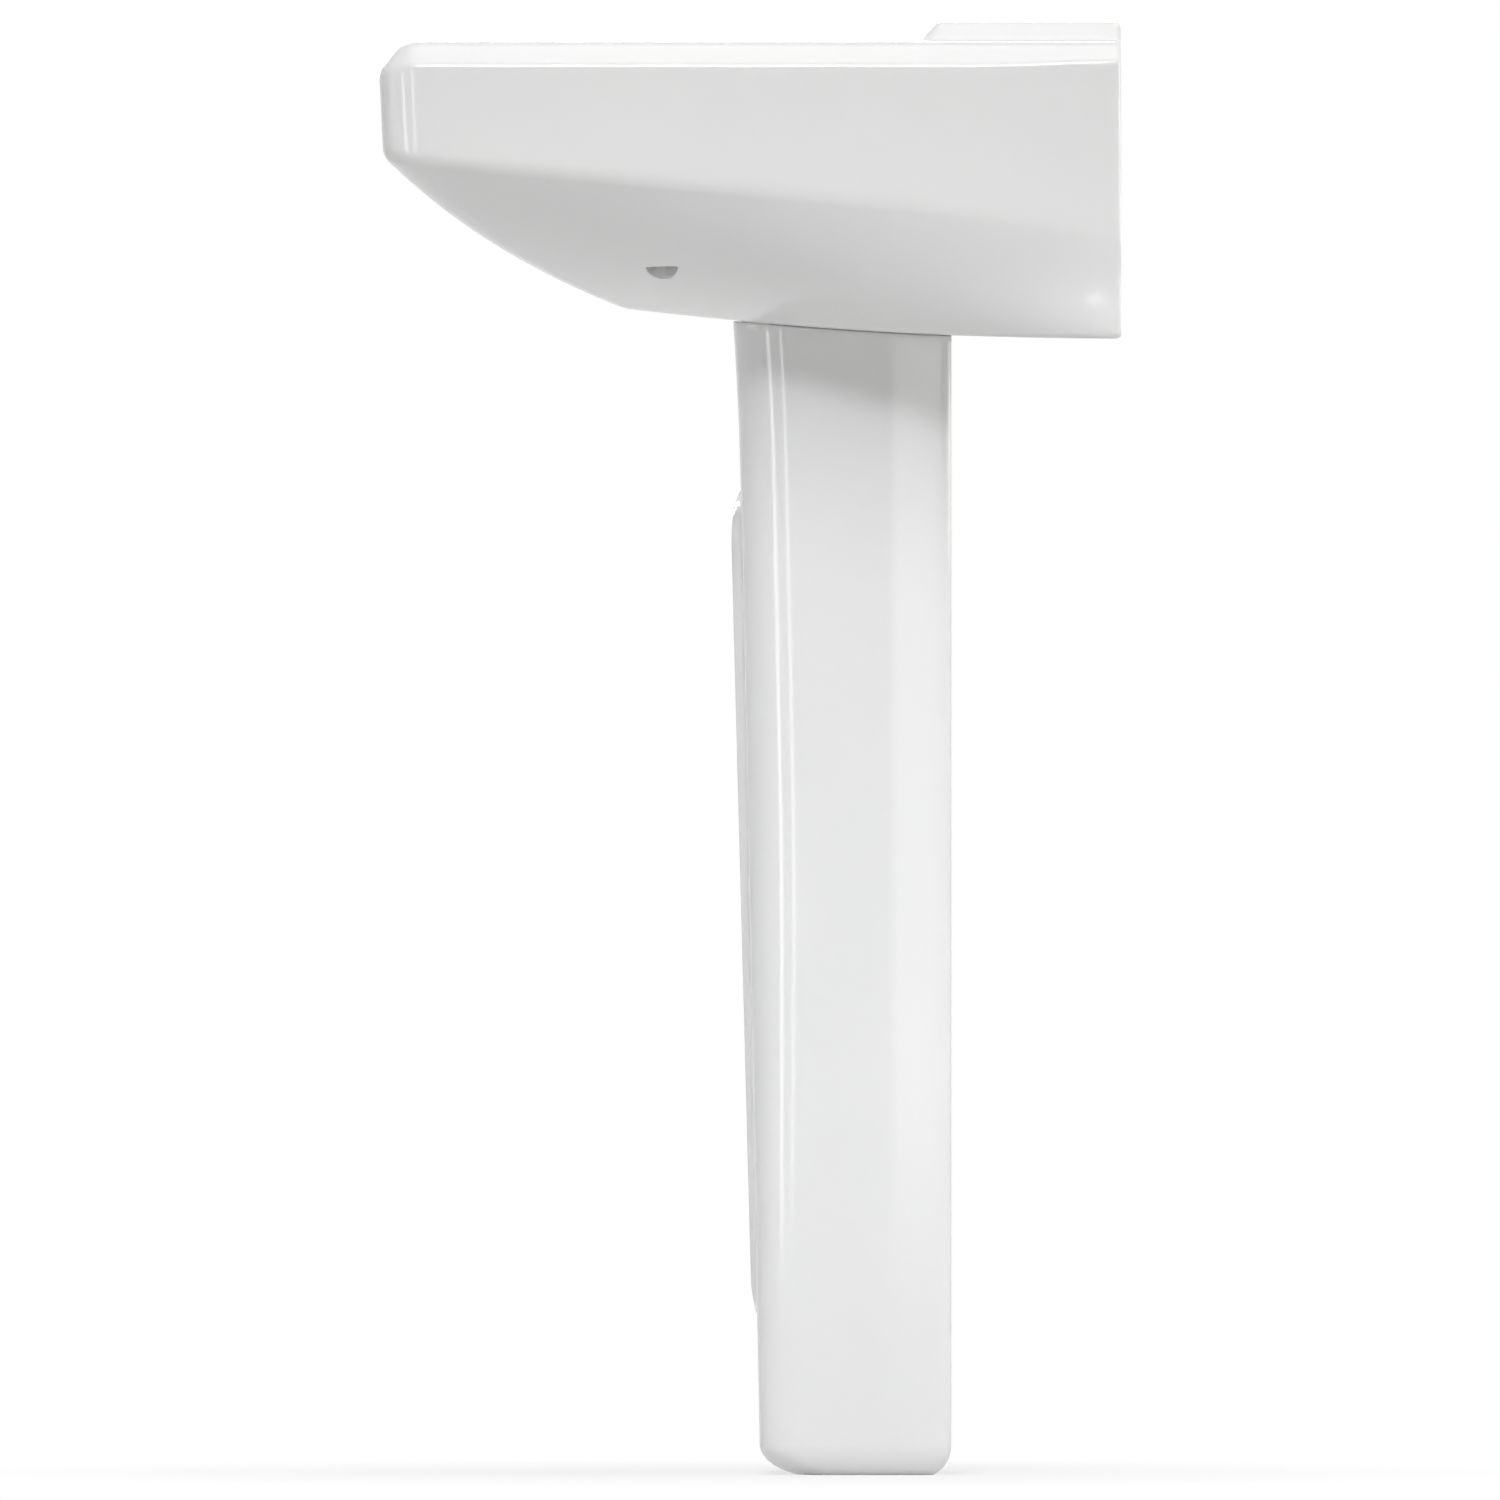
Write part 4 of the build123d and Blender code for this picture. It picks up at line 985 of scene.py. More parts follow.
class Shaft:
    """The pedestal's half sections by height, from the front round the rear to the inside."""

    counts = (9, 12, 8, 14, 18, 6, 6, 6, 4, 5, 4, 10, 6, 10)

    def __init__(self, sizes, foot_height):
        self.sizes, self.foot_height = sizes, foot_height
        self.height = foot_height(sizes.rear - sizes.depth)
        starts = np.cumsum((0, *self.counts[:-1]))
        part = np.repeat(np.arange(len(self.counts)), self.counts)
        run = (np.arange(len(part)) - starts[part]) / np.array(self.counts)[part]
        self.part, self.run = np.append(part, part[-1]), np.append(run, 1.0)
        self.rear_end, self.inner_start = starts[8], starts[10]

    def panel_half(self, z):
        """Half the panel's width: a straight taper from its top to its bottom."""
        sizes = self.sizes
        share = (z - sizes.panel_bottom) / (sizes.panel_top - sizes.panel_bottom)
        span = sizes.panel_half_top - sizes.panel_half_bottom
        return sizes.panel_half_bottom + np.clip(share, 0, 1) * span

    def panel_rise(self, x, z):
        """How far the panel stands out: its straight rise, run out at its ends and sides."""
        sizes = self.sizes
        height = sizes.panel_full - sizes.panel_low_full
        share = np.clip((z - sizes.panel_low_full) / height, 0, 1)
        rise = sizes.panel_rise_bottom + share * (sizes.panel_rise_top - sizes.panel_rise_bottom)
        top = np.clip((sizes.panel_top - z) / (sizes.panel_top - sizes.panel_full), 0, 1)
        low = (z - sizes.panel_bottom) / (sizes.panel_low_full - sizes.panel_bottom)
        low = np.clip(low, 0, 1)
        ends = 1.0
        for end in (top, low):
            ends = ends * (1 - (2 - np.sqrt(1 + 3 * end)) ** 2)
        half = self.panel_half(z)
        inside = half - x
        for corner, past in (
            (sizes.panel_top_corner, z - sizes.panel_top + sizes.panel_top_corner),
            (sizes.panel_low_corner, sizes.panel_bottom + sizes.panel_low_corner - z),
        ):
            aside = np.maximum(x - half + corner, 0)
            round_off = corner - np.hypot(aside, np.maximum(past, 0))
            inside = np.where((past > 0) & (aside > 0), np.minimum(inside, round_off), inside)
        return rise * ends * smooth(inside / sizes.panel_edge)

    corner_growth = 0.6  # share of the height over which the front corners grow
    turn_soft = 4 * MM  # half the length of the bend where the rear strips turn inwards
    inner_edge, inner_edge_run = 3 * MM, 14 * MM  # soft inner rear edge, and its run-in above

    def section(self, z, rounding=0.0):
        """Half sections at heights, rows by columns, drawn in by the foot's rounding."""
        sizes, run = self.sizes, self.run
        z = z + 0 * run
        past = np.maximum(z - sizes.flare_from, 0) / (self.height - sizes.flare_from)
        plain_front = sizes.rear - sizes.depth - sizes.lean * z - sizes.flare * past**2
        plain_half = sizes.half_base + (sizes.half_top - sizes.half_base) * z / self.height
        front = plain_front + sizes.foot_front * rounding
        half = plain_half - sizes.foot_side * rounding
        rear = sizes.rear - sizes.foot_rear * rounding
        growth = smooth(z / (self.corner_growth * self.height))
        corner = sizes.corner_base + (sizes.corner_top - sizes.corner_base) * growth
        slope = sizes.turn_in / sizes.turn_length
        turn_y = sizes.rear - sizes.turn_length

        def strip(half_width, y):
            """Half width of a rear strip, which turns inwards by a straight slope."""
            return half_width - slope * (y - turn_y)

        leg, soft = sizes.rear_edge, self.turn_soft
        inner_leg = self.inner_edge * smooth((z - sizes.flange_height) / self.inner_edge_run)
        edge = sizes.panel_edge
        panel = self.panel_half(z)
        flat, arc = half - corner, QUARTER * run
        inner_half, inner_front = plain_half - sizes.wall, plain_front + sizes.wall
        inner_corner = corner - sizes.wall
        far, inner_far = strip(half, rear), strip(inner_half, rear)
        strip_end, strip_start = rear - leg, turn_y + soft
        strip_y = strip_start + run * (strip_end - strip_start)
        inner_y = rear - inner_leg + run * (turn_y - rear + inner_leg)
        parts = [
            (run * (panel - edge), front),
            (panel - edge + run * edge, front),
            (panel + run * (flat - panel), front),
            (flat + corner * np.sin(arc), front + corner * (1 - np.cos(arc))),
            (half, front + corner + run * (turn_y - soft - front - corner)),
            (
                bezier(half, half, strip(half, strip_start), run),
                bezier(turn_y - soft, turn_y, strip_start, run),
            ),
            (strip(half, strip_y), strip_y),
            (
                bezier(strip(half, strip_end), far, far - leg, run),
                bezier(strip_end, rear, rear, run),
            ),
            (far - leg + run * (inner_far + inner_leg - far + leg), rear),
            (
                bezier(inner_far + inner_leg, inner_far, strip(inner_half, rear - inner_leg), run),
                bezier(rear, rear, rear - inner_leg, run),
            ),
            (strip(inner_half, inner_y), inner_y),
            (inner_half, turn_y + run * (front + corner - turn_y)),
            (
                inner_half - inner_corner * (1 - np.cos(arc)),
                inner_front + inner_corner * (1 - np.sin(arc)),
            ),
            ((1 - run) * (inner_half - inner_corner), inner_front),
        ]
        chosen = [self.part == place for place in range(len(parts))]
        x = np.select(chosen, [part[0] + 0 * z for part in parts])
        y = np.select(chosen, [part[1] + 0 * z for part in parts])
        y = np.where(self.part < 4, y - self.panel_rise(x, z), y)
        return np.stack([x, y, z], axis=-1)


FOOT_START = 20  # degrees of the foot's rounding that the floor cuts off
FOOT_ROWS = 10  # rows of the foot up to the flange's top


def build_pedestal(sizes, foot_height):
    """The pedestal as one closed skin: outside, rear ends, inside, flange and rims."""
    surface = Surface()
    shaft = Shaft(sizes, foot_height)
    flange = sizes.flange_height

    # Foot: rounded from the floor to its full width
    first = math.radians(FOOT_START)
    reach = math.acos((1 - flange / sizes.foot_height) * math.cos(first))
    angles = join(line(first, reach, FOOT_ROWS), line(reach, QUARTER, 5))[:, None]
    foot_z = sizes.foot_height * (1 - np.cos(angles) / math.cos(first))
    foot_rounding = (1 - np.sin(angles)) / (1 - math.sin(first))
    foot = shaft.section(foot_z, foot_rounding)
    low, flange_row = foot[:FOOT_ROWS], foot[FOOT_ROWS - 1]
    surface.grid(low[:, : shaft.rear_end + 1], mirrored=True)

    # Wall: all the way round, from the flange's top to the seat under the basin
    heights = join(
        line(sizes.foot_height, sizes.panel_bottom, 14),
        line(sizes.panel_bottom, sizes.panel_low_full, 12),
        line(sizes.panel_low_full, sizes.panel_full, 90),
        line(sizes.panel_full, sizes.panel_top, 14),
    )[:, None]
    middle = shaft.section(heights)
    soft = 1.2 * MM
    share = shares(26)[:, None]
    top = shaft.section(sizes.panel_top + share * (shaft.height - sizes.panel_top))
    for _ in range(3):
        seat = foot_height(top[-1:, :, 1]) - sizes.seat_gap - soft
        top = shaft.section(sizes.panel_top + share * (seat - sizes.panel_top))
    wall = join(foot[FOOT_ROWS - 1 :], middle, top)
    surface.grid(wall[:, : shaft.rear_end + 1], mirrored=True)
    loop = whole(wall[-1])
    inwards = edge_normals(loop, (0, 1))
    turn = (QUARTER * shares(5))[:, None, None]
    rim = np.repeat(loop[None], len(turn), axis=0)
    rim[..., :2] += inwards * soft * (1 - np.cos(turn))
    rim[..., 2:] += soft * np.sin(turn)
    rim[-1, :, 2] = foot_height(rim[-1, :, 1]) - sizes.seat_gap
    surface.grid(rim, closed=True)
    surface.glaze = 0.0
    surface.grid(wall[:, shaft.rear_end :], mirrored=True)
    surface.fill(rim[-1])

    # Flange at the floor, with two lugs and their screw holes
    lug_y = sizes.rear - sizes.screw_from_rear
    lug_x = (sizes.screw_spacing - sizes.lug_width) / 2
    window_x = sizes.half_base - sizes.wall - sizes.flange_width
    window_y = foot[0, 0, 1] + sizes.flange_width
    before, behind = lug_y - sizes.lug_depth / 2, lug_y + sizes.lug_depth / 2
    path = rounded_path(
        [
            (0, window_y),
            (window_x, window_y),
            (window_x, before),
            (lug_x, before),
            (lug_x, behind),
            (window_x, behind),
            (window_x, sizes.rear - sizes.foot_rear),
        ],
        1.4 * MM,
    )
    window = np.zeros((len(low), len(path), 3))
    window[..., :2] = path
    window[:, -1, 1] = low[:, shaft.rear_end, 1]
    window[..., 2] = low[:, :1, 2]
    surface.grid(window, mirrored=True)
    corner = low[:, shaft.rear_end]
    flange_rear = line(flange_row[shaft.inner_start], window[-1, -1], 4)
    rear_line = join(flange_row[shaft.rear_end : shaft.inner_start + 1], flange_rear)
    rear_low = line(window[0, -1], corner[0], 3)
    rear_face = join(corner, rear_line, window[::-1, -1], rear_low)[:-1]
    surface.fill(rear_face, axes=(0, 2))
    surface.fill(mirror(rear_face), axes=(0, 2))
    places = [(side * sizes.screw_spacing / 2, lug_y) for side in (-1, 1)]
    profile = [(sizes.screw_hole, 0), (sizes.screw_hole, flange)]
    tubes = [lathe(profile, place, turns(32)) for place in places]
    for tube in tubes:
        surface.grid(tube, closed=True)
    outside = low[0, : shaft.rear_end + 1]
    bottom = whole(join(outside, rear_low[::-1], window[0, ::-1]))
    surface.fill(bottom, *(tube[0] for tube in tubes))
    inside = flange_row[shaft.inner_start :][::-1]
    shelf = whole(join(inside, flange_rear, window[-1, ::-1]))
    surface.fill(shelf, *(tube[-1] for tube in tubes))
    return surface


# ---------------------------------------------------------------- pieces


def add_piece(mesh, node):
    """Put a finished mesh into the scene in place of a node, with the node's slot."""
    piece = bpy.data.objects.new(mesh.name, mesh)
    bpy.context.scene.collection.objects.link(piece)
    mesh.materials.append(slot_material(slot_of(node)))
    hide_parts(node)
    return piece


def slot_of(node):
    """The slot of a CAD node, as the record gives it."""
    for part in frame["record"]["subparts"]:
        if part["node"] == node:
            return part["material_slot"]
    raise RuntimeError(f"the record has no slot for {node}")


def wound_wire(low, high, wire=0.9 * MM, coils=5, steps=240, sides=12):
    """Points and faces of a closed round wire on a helix that fills a box.

    The centre line goes round the box's axis at one radius and rises evenly. Each point of the
    section is the centre, plus the wire's radius times the cosine of the section's angle along
    the outward direction, plus its sine along the direction square to that and to the path.
    """
    radius = (high.x - low.x) / 2 - wire / 2
    rise = high.z - low.z - wire
    angle = 4 * QUARTER * coils * shares(steps)[:, None]
    centre = np.array([(low.x + high.x) / 2, (low.y + high.y) / 2, low.z + wire / 2])
    outward = np.concatenate([np.cos(angle), np.sin(angle), 0 * angle], axis=1)
    climb = rise / (4 * QUARTER * coils) + 0 * angle
    path = np.concatenate([-radius * np.sin(angle), radius * np.cos(angle), climb], axis=1)
    path /= np.linalg.norm(path, axis=1, keepdims=True)
    square = np.cross(path, outward)
    middle = centre + radius * outward
    middle[:, 2] += rise * shares(steps)
    section = turns(sides)[None, :, None]
    around = np.cos(section) * outward[:, None] + np.sin(section) * square[:, None]
    points = middle[:, None] + wire / 2 * around
    ring, after = np.arange(sides), np.roll(np.arange(sides), -1)
    first = np.arange(steps - 1)[:, None] * sides
    corners = (first + ring, first + after, first + sides + after, first + sides + ring)
    ends = [ring.tolist(), (ring + (steps - 1) * sides).tolist()]
    return points.reshape(-1, 3), np.stack(corners, axis=-1).reshape(-1, 4).tolist() + ends


# ---------------------------------------------------------------- materials


def link_or_set(tree, value, socket):
    """Join a socket's output to an input, or set the input to a plain value."""
    if isinstance(value, bpy.types.NodeSocket):
        tree.links.new(value, socket)
    else:
        socket.default_value = value


def add_node(tree, kind, **values):
    """Add a node of a kind; values set its properties, or its inputs where it has none."""
    node = tree.nodes.new("ShaderNode" + kind)
    for name, value in values.items():
        if hasattr(node, name):
            setattr(node, name, value)
        else:
            link_or_set(tree, value, node.inputs[name.replace("_", " ").title()])
    return node


def object_place(tree):
    """Object coordinates."""
    return add_node(tree, "TexCoord").outputs["Object"]


def noise(tree, scale, detail=2.0, roughness=0.5, distortion=0.0, vector=None):
    """A noise texture's value, on Object coordinates where no vector is given."""
    node = add_node(tree, "TexNoise", detail=detail, roughness=roughness, distortion=distortion)
    link_or_set(tree, scale, node.inputs["Scale"])
    tree.links.new(vector or object_place(tree), node.inputs["Vector"])
    return node.outputs["Fac"]


def spread_to(tree, value, low, high, from_low=0.3, from_high=0.7):
    """Map a value's range onto another one, without going past its ends."""
    node = add_node(tree, "MapRange", from_min=from_low, from_max=from_high, to_max=high)
    link_or_set(tree, value, node.inputs["Value"])
    link_or_set(tree, low, node.inputs["To Min"])
    return node.outputs["Result"]


def combine(tree, operation, first, second):
    """The result of a Math node for two values."""
    node = add_node(tree, "Math", operation=operation)
    link_or_set(tree, first, node.inputs[0])
    link_or_set(tree, second, node.inputs[1])
    return node.outputs[0]


def blend_colours(tree, share, first, second):
    """Mix two colours by a share."""
    node = add_node(tree, "Mix", data_type="RGBA")
    for value, socket in ((share, 0), (first, 6), (second, 7)):
        link_or_set(tree, value, node.inputs[socket])
    return node.outputs[2]


def mix_shaders(tree, share, first, second):
    """Mix two shaders by a share."""
    node = add_node(tree, "MixShader")
    for value, socket in ((share, 0), (first, 1), (second, 2)):
        tree.links.new(value, node.inputs[socket])
    return node.outputs[0]


def bump(tree, height, distance, strength, normal=None):
    """Turn a height into a normal; the distance is in metres."""
    node = add_node(tree, "Bump", strength=strength, distance=distance)
    tree.links.new(height, node.inputs["Height"])
    if normal is not None:
        tree.links.new(normal, node.inputs["Normal"])
    return node.outputs["Normal"]


def new_group(name, inputs, outputs):
    """A shader node group with named value inputs and outputs, and its end nodes."""
    group = bpy.data.node_groups.new(name, "ShaderNodeTree")
    for label, default in inputs.items():
        socket = group.interface.new_socket(label, in_out="INPUT", socket_type="NodeSocketFloat")
        socket.default_value = default
    for label in outputs:
        group.interface.new_socket(label, in_out="OUTPUT", socket_type="NodeSocketFloat")
    given, result = group.nodes.new("NodeGroupInput"), group.nodes.new("NodeGroupOutput")
    return group, given.outputs, result.inputs


def uneven_finish():
    """Shared by the metals: slow patches, and fine lines that run round a turned piece."""
    scales = {"Patch Scale": 60, "Line Scale": 900}
    group, given, result = new_group("Uneven finish", scales, ("Patches", "Lines"))
    patches = noise(group, given["Patch Scale"], 4.0, 0.6)
    flattened = add_node(group, "Mapping", scale=(0.08, 0.08, 1), vector=object_place(group))
    lines = noise(group, given["Line Scale"], vector=flattened.outputs[0])
    group.links.new(patches, result["Patches"])
    group.links.new(lines, result["Lines"])
    return group


def moulded_grain():
    """Shared by rubbers and plastics: a fine grain and soft flow marks."""
    scales = {"Grain Scale": 1500, "Flow Scale": 45}
    group, given, result = new_group("Moulded grain", scales, ("Grain", "Flow"))
    cells = add_node(group, "TexVoronoi", scale=given["Grain Scale"], vector=object_place(group))
    group.links.new(cells.outputs["Distance"], result["Grain"])
    group.links.new(noise(group, given["Flow Scale"], 3.0, 0.6, 0.8), result["Flow"])
    return group


def new_material(name, **sockets):
    """A material with a Principled shader whose plain values are set on its own sockets."""
    material = bpy.data.materials.new(name)
    material.use_nodes = True
    shader = material.node_tree.nodes["Principled BSDF"]
    for label, value in sockets.items():
        shader.inputs[label.replace("_", " ")].default_value = value
    return material, material.node_tree, shader


def grey(level, warmth=0.0):
    """A colour of one linear level, slightly warm or cold."""
    return (level * (1 + warmth), level, level * (1 - warmth), 1.0)


# The glaze and the bisque: scales of their noise, per metre, and depths of their relief
GLAZE_PATCHES, GLOSS_PATCHES, PEEL, BISQUE_GRAIN = 9.0, 30.0, 55.0, 420.0
PEEL_DEPTH, GRAIN_DEPTH, CHINA_RELIEF = 0.00006, 0.0004, 0.6
GLOSS_SPREAD, BISQUE_ROUGHNESS, BISQUE_SHADE = 0.05, 0.72, grey(0.60, 0.05)


def china_material(finish):
    """Glossy white glaze with a faint orange-peel surface; bare bisque where glaze is 0."""
    material, tree, shader = new_material("Glazed china", Specular_IOR_Level=0.5)
    glaze = add_node(tree, "Attribute", attribute_name="glaze").outputs["Fac"]
    thicker = spread_to(tree, noise(tree, GLAZE_PATCHES, 3.0), 0.0, 1.0)
    white = blend_colours(tree, thicker, tuple(finish.glaze_colour), tuple(finish.glaze_shade))
    grain = noise(tree, BISQUE_GRAIN, 4.0, 0.7)
    bare_share = spread_to(tree, grain, 0.0, 1.0)
    bare = blend_colours(tree, bare_share, tuple(finish.bisque_colour), BISQUE_SHADE)
    tree.links.new(blend_colours(tree, glaze, bare, white), shader.inputs["Base Color"])
    smoothest = finish.glaze_roughness
    patches = noise(tree, GLOSS_PATCHES, 3.0)
    gloss = spread_to(tree, patches, smoothest, smoothest + GLOSS_SPREAD)
    rough = spread_to(tree, glaze, BISQUE_ROUGHNESS, gloss, 0.0, 1.0)
    tree.links.new(rough, shader.inputs["Roughness"])
    peel = bump(tree, noise(tree, PEEL, 1.0), PEEL_DEPTH, CHINA_RELIEF)
    rise = combine(tree, "MULTIPLY", grain, spread_to(tree, glaze, 1.0, 0.0, 0.0, 1.0))
    tree.links.new(bump(tree, rise, GRAIN_DEPTH, CHINA_RELIEF, peel), shader.inputs["Normal"])
    return material


def fitting_material(slot, effect, look, marks, gloss_from, **sockets):
    """A finish whose colour, gloss and relief follow three outputs of a shared effect.

    A look is a colour and a second one, the least and the most roughness, and the relief's
    depth in metres. gloss_from is the range of the second output that the roughness spans.
    """
    colour, shade, smoothest, roughest, depth = look
    material, tree, shader = new_material(slot.replace("_", " ").capitalize(), **sockets)
    given = add_node(tree, "Group", node_tree=effect)
    tint, gloss, height = (given.outputs[mark] for mark in marks)
    share = spread_to(tree, tint, 0.0, 1.0)
    tree.links.new(blend_colours(tree, share, colour, shade), shader.inputs["Base Color"])
    rough = spread_to(tree, gloss, smoothest, roughest, *gloss_from)
    tree.links.new(rough, shader.inputs["Roughness"])
    tree.links.new(bump(tree, height, depth, 0.5), shader.inputs["Normal"])
    return material


METALS = {
    "chromed_brass": (grey(0.80, -0.01), grey(0.74, -0.01), 0.05, 0.11, 0.000004),
    "plain_brass": ((0.60, 0.41, 0.17, 1), (0.47, 0.30, 0.12, 1), 0.24, 0.42, 0.00002),
    "spring_steel": (grey(0.56, -0.02), grey(0.44, -0.01), 0.22, 0.36, 0.00001),
}
MOULDED = {
    "black_rubber": (grey(0.018), grey(0.03), 0.55, 0.75, 0.00003),
    "grey_rubber": (grey(0.16), grey(0.21), 0.55, 0.75, 0.00003),
    "white_nylon": (grey(0.72, 0.01), grey(0.66, 0.02), 0.35, 0.5, 0.00002),
    "grey_nylon": (grey(0.30), grey(0.25), 0.35, 0.5, 0.00002),
    "clear_silicone": (grey(0.62, 0.01), grey(0.54, 0.02), 0.3, 0.45, 0.00002),
}


def make_finishes(finish):
    """All the sink's materials by the name of their slot."""
    metal, grain = uneven_finish(), moulded_grain()
    made = {"glazed_china": china_material(finish)}
    for slot, look in METALS.items():
        marks = ("Patches", "Patches", "Lines")
        made[slot] = fitting_material(slot, metal, look, marks, (0.3, 0.7), Metallic=1.0)
    for slot, look in MOULDED.items():
        made[slot] = fitting_material(slot, grain, look, ("Flow", "Grain", "Grain"), (0.0, 0.6))
    return made


class SinkFinish(bpy.types.PropertyGroup):
    """Colours and gloss of the china."""

    glaze_colour: FloatVectorProperty(
        name="Glaze", description="Colour of the glaze", default=(0.80, 0.80, 0.795, 1.0),
        size=4, subtype="COLOR", min=0, max=1,
    )
    glaze_shade: FloatVectorProperty(
        name="Glaze, thicker", description="Colour of the glaze where it lies thicker",
        default=(0.785, 0.787, 0.784, 1.0), size=4, subtype="COLOR", min=0, max=1,
    )
    bisque_colour: FloatVectorProperty(
        name="Bisque", description="Colour of the unglazed china",
        default=(0.68, 0.66, 0.61, 1.0), size=4, subtype="COLOR", min=0, max=1,
    )
    glaze_roughness: FloatProperty(
        name="Glaze roughness", description="Roughness of the glaze at its smoothest",
        default=0.07, min=0, max=1, subtype="FACTOR",
    )


# ---------------------------------------------------------------- operators


def sizes_of(context):
    """The scene's sizes of the hull, the bowl and the pedestal."""
    return context.scene.sink_hull, context.scene.sink_bowl, context.scene.sink_pedestal


def slot_material(slot):
    """The material of a slot, made with all the others the first time it is asked for."""
    if not finishes:
        finishes.update(make_finishes(bpy.context.scene.sink_finish))
    return finishes[slot]


finishes = {}


class SINK_OT_basin(bpy.types.Operator):
    """Build the china basin with its bowl, ledge and holes"""

    bl_idname = "sink.basin"
    bl_label = "Basin"

    def execute(self, context):
        hull, bowl, _ = sizes_of(context)
        mesh = build_basin(hull, bowl).mesh("china_basin")
        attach(add_piece(mesh, "basin"), "sink")
        return {"FINISHED"}


class SINK_OT_pedestal(bpy.types.Operator):
    """Build the china pedestal under the basin"""

    bl_idname = "sink.pedestal"
    bl_label = "Pedestal"

    def execute(self, context):
        hull, _, pedestal = sizes_of(context)
        mesh = build_pedestal(pedestal, Hull(hull).foot_height).mesh("china_pedestal")
        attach(add_piece(mesh, "pedestal"), "sink")
        return {"FINISHED"}


class SINK_OT_spring(bpy.types.Operator):
    """Wind the cartridge's spring, a round wire on a helix that fills the CAD spring's box"""

    bl_idname = "sink.spring"
    bl_label = "Spring"

    def execute(self, context):
        low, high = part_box("cartridge_spring")
        piece = add_piece(solid_mesh("coil_spring", *wound_wire(low, high)), "cartridge_spring")
        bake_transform(piece)
        return {"FINISHED"}


class SINK_OT_fittings(bpy.types.Operator):
    """Give every CAD node left showing the material of its slot"""

    bl_idname = "sink.fittings"
    bl_label = "Fittings"

    def execute(self, context):
        for name, node in frame["nodes"].items():
            if node.hide_render:
                continue
            material = slot_material(slot_of(name))
            for place in node.material_slots:
                place.material = material
            if not node.material_slots:
                raise RuntimeError(f"{name} has no material slot")
        return {"FINISHED"}


# ---------------------------------------------------------------- studio


def add_lamp(name, place, target, spread, size, power):
    """A rectangular soft lamp at a place, turned to a target, that the camera doesn't see."""
    lamp = bpy.data.lights.new(name, "AREA")
    lamp.shape = "RECTANGLE"
    lamp.size, lamp.size_y = size
    lamp.energy = power
    lamp.spread = math.radians(spread)
    holder = bpy.data.objects.new(name, lamp)
    bpy.context.scene.collection.objects.link(holder)
    holder.location = place
    direction = Vector(target) - Vector(place)
    holder.rotation_mode = "QUATERNION"
    holder.rotation_quaternion = direction.to_track_quat("-Z", "Y")
    holder.visible_camera = False


def white_rays(tree):
    """1 for rays that should find the plain white background, 0 for those that light."""
    path = add_node(tree, "LightPath").outputs
    seen = combine(tree, "MAXIMUM", path["Is Camera Ray"], path["Is Glossy Ray"])
    return combine(tree, "MAXIMUM", seen, path["Is Transmission Ray"])


def light_world(level):
    """White for the camera and in reflections, a plain grey for the light it gives."""
    world = bpy.data.worlds.new("Studio")
    bpy.context.scene.world = world
    world.use_nodes = True
    tree = world.node_tree
    shown = blend_colours(tree, white_rays(tree), grey(level), grey(1.0))
    tree.links.new(shown, tree.nodes["Background"].inputs["Color"])


def floor_material():
    """Pale floor that glows white for the camera, less so near the sink to keep its shadow.

    The glow's share grows with the distance from the middle of the floor. From below, the
    floor is clear.
    """
    material, tree, shader = new_material("Pale floor", Roughness=0.9, Specular_IOR_Level=0.0)
    dust = spread_to(tree, noise(tree, 3.0, 3.0), 0.0, 1.0)
    colour = blend_colours(tree, dust, grey(0.84), grey(0.83))
    tree.links.new(colour, shader.inputs["Base Color"])
    away = add_node(tree, "VectorMath", operation="LENGTH", vector=object_place(tree))
    near = spread_to(tree, away.outputs["Value"], *FLOOR_GLOW, *FLOOR_GLOW_FROM)
    share = combine(tree, "MULTIPLY", white_rays(tree), near)
    glow = add_node(tree, "Emission").outputs[0]
    above = mix_shaders(tree, share, shader.outputs[0], glow)
    below = add_node(tree, "BsdfTransparent").outputs[0]
    facing_away = add_node(tree, "NewGeometry").outputs["Backfacing"]
    shown = mix_shaders(tree, facing_away, above, below)
    tree.links.new(shown, tree.nodes["Material Output"].inputs["Surface"])
    return material


# Half the floor's side, and the share that it glows by at two distances from its middle
FLOOR_HALF = 6.0
FLOOR_GLOW, FLOOR_GLOW_FROM = (0.7, 1.0), (0.12, 0.5)

# Each lamp's name, place, height of its target, spread, size and power
LAMPS = (
    ("Side beam", (2.6, -0.2, 1.6), 0.22, 18, (0.8, 0.8), 0.76),
    ("Side, steep", (2.3, -0.2, 2.4), 0.45, 180, (1.6, 1.2), 29.5),
    ("Top", (0.3, 0.0, 3.0), 0.5, 180, (2.2, 2.2), 26),
    ("Front", (0.4, -3.0, 1.2), 0.5, 180, (1.4, 1.4), 8),
    ("Back", (0.2, 3.0, 1.2), 0.5, 180, (1.4, 1.4), 40),
    ("Far side", (-2.6, -0.4, 1.6), 0.5, 180, (1.6, 1.6), 22),
    ("Line, front", (2.62, -3.12, 0.31), 0.31, 180, (0.53, 0.62), 5.0),
    ("Line, side", (3.73, -1.66, 0.31), 0.31, 180, (0.40, 0.62), 3.2),
    ("Line, rear", (3.90, 0.883, 0.31), 0.31, 180, (0.53, 0.62), 1.8),
)
LAMP_TARGET_Y = 0.06
WORLD_LEVEL = 0.1

# The camera looks from the side of the sink, from far off and from the height of the basin's
# foot, at a height nearer to the sink's middle. The view's width is that at the view plane.
VIEW_DISTANCE = 40.0
VIEW_WIDTH = 0.911
VIEW_PLANE = 0.2
VIEW_HEIGHT = 0.7
VIEW_MIDDLE = 0.4426
SENSOR_WIDTH = 36


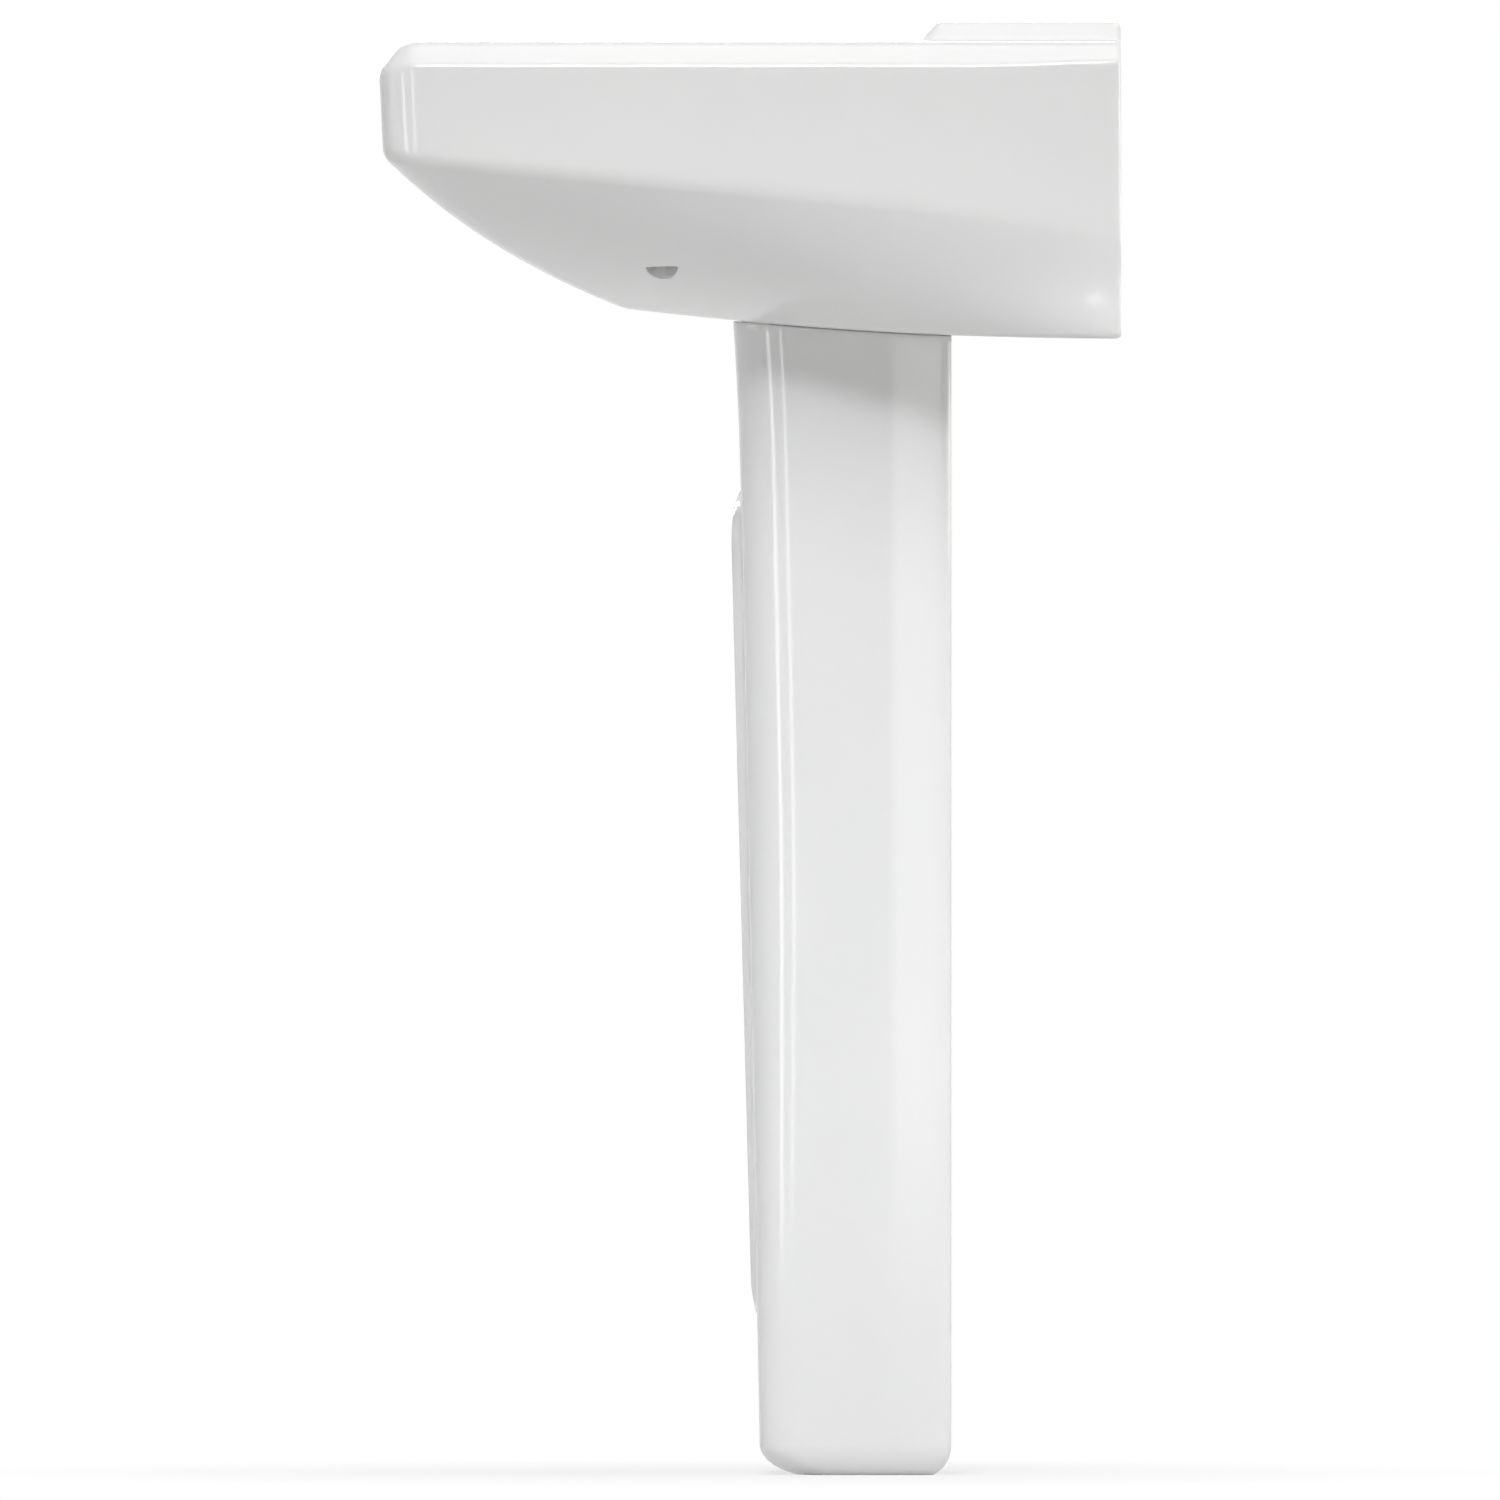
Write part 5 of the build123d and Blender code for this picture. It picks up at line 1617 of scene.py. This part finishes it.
class SINK_OT_studio(bpy.types.Operator):
    """Lay the floor and set up the lamps, the world and the camera"""

    bl_idname = "sink.studio"
    bl_label = "Studio"

    def execute(self, context):
        scene, half = context.scene, FLOOR_HALF
        corners = [(-half, -half, 0), (half, -half, 0), (half, half, 0), (-half, half, 0)]
        mesh = bpy.data.meshes.new("studio_floor")
        mesh.from_pydata(corners, [], [(0, 1, 2, 3)])
        mesh.materials.append(floor_material())
        floor = bpy.data.objects.new("studio_floor", mesh)
        scene.collection.objects.link(floor)

        for name, place, height, spread, size, power in LAMPS:
            add_lamp(name, place, (0, LAMP_TARGET_Y, height), spread, size, power)
        light_world(WORLD_LEVEL)

        camera = bpy.data.cameras.new("Camera")
        camera.sensor_width = SENSOR_WIDTH
        camera.lens = camera.sensor_width * VIEW_DISTANCE / VIEW_WIDTH
        camera.clip_end = 2.5 * VIEW_DISTANCE
        holder = bpy.data.objects.new("Camera", camera)
        holder.location = (VIEW_DISTANCE + VIEW_PLANE, 0, VIEW_HEIGHT)
        downwards = math.atan2(VIEW_HEIGHT - VIEW_MIDDLE, VIEW_DISTANCE)
        holder.rotation_euler = (QUARTER - downwards, 0, QUARTER)
        scene.collection.objects.link(holder)
        scene.camera = holder
        scene.view_settings.view_transform = "Standard"
        return {"FINISHED"}


# ---------------------------------------------------------------- add-on


class SINK_PT_panel(bpy.types.Panel):
    """Lists the sink's operators and sizes"""

    bl_idname = "SINK_PT_panel"
    bl_label = "Pedestal sink"
    bl_space_type = "VIEW_3D"
    bl_region_type = "UI"
    bl_category = "Sink"

    def draw(self, context):
        for operator in operators:
            self.layout.operator(operator.bl_idname)
        for group in (context.scene.sink_finish, *sizes_of(context)):
            box = self.layout.box()
            for name in group.__annotations__:
                box.prop(group, name)


groups = {
    "sink_hull": SinkHullSizes,
    "sink_bowl": SinkBowlSizes,
    "sink_pedestal": SinkPedestalSizes,
    "sink_finish": SinkFinish,
}
operators = (
    SINK_OT_studio,
    SINK_OT_basin,
    SINK_OT_pedestal,
    SINK_OT_spring,
    SINK_OT_fittings,
)


def register():
    """Register the classes and hang the property groups on the scene."""
    for kind in (*groups.values(), *operators, SINK_PT_panel):
        bpy.utils.register_class(kind)
    for name, kind in groups.items():
        setattr(bpy.types.Scene, name, PointerProperty(type=kind))


def unregister():
    """Take away what register added."""
    for name in groups:
        delattr(bpy.types.Scene, name)
    for kind in (SINK_PT_panel, *operators, *groups.values()):
        bpy.utils.unregister_class(kind)


def main():
    """Build everything in order."""
    register()
    bpy.ops.sink.studio()
    bpy.ops.sink.basin()
    bpy.ops.sink.pedestal()
    bpy.ops.sink.spring()
    bpy.ops.sink.fittings()


if __name__ == "__main__":
    main()
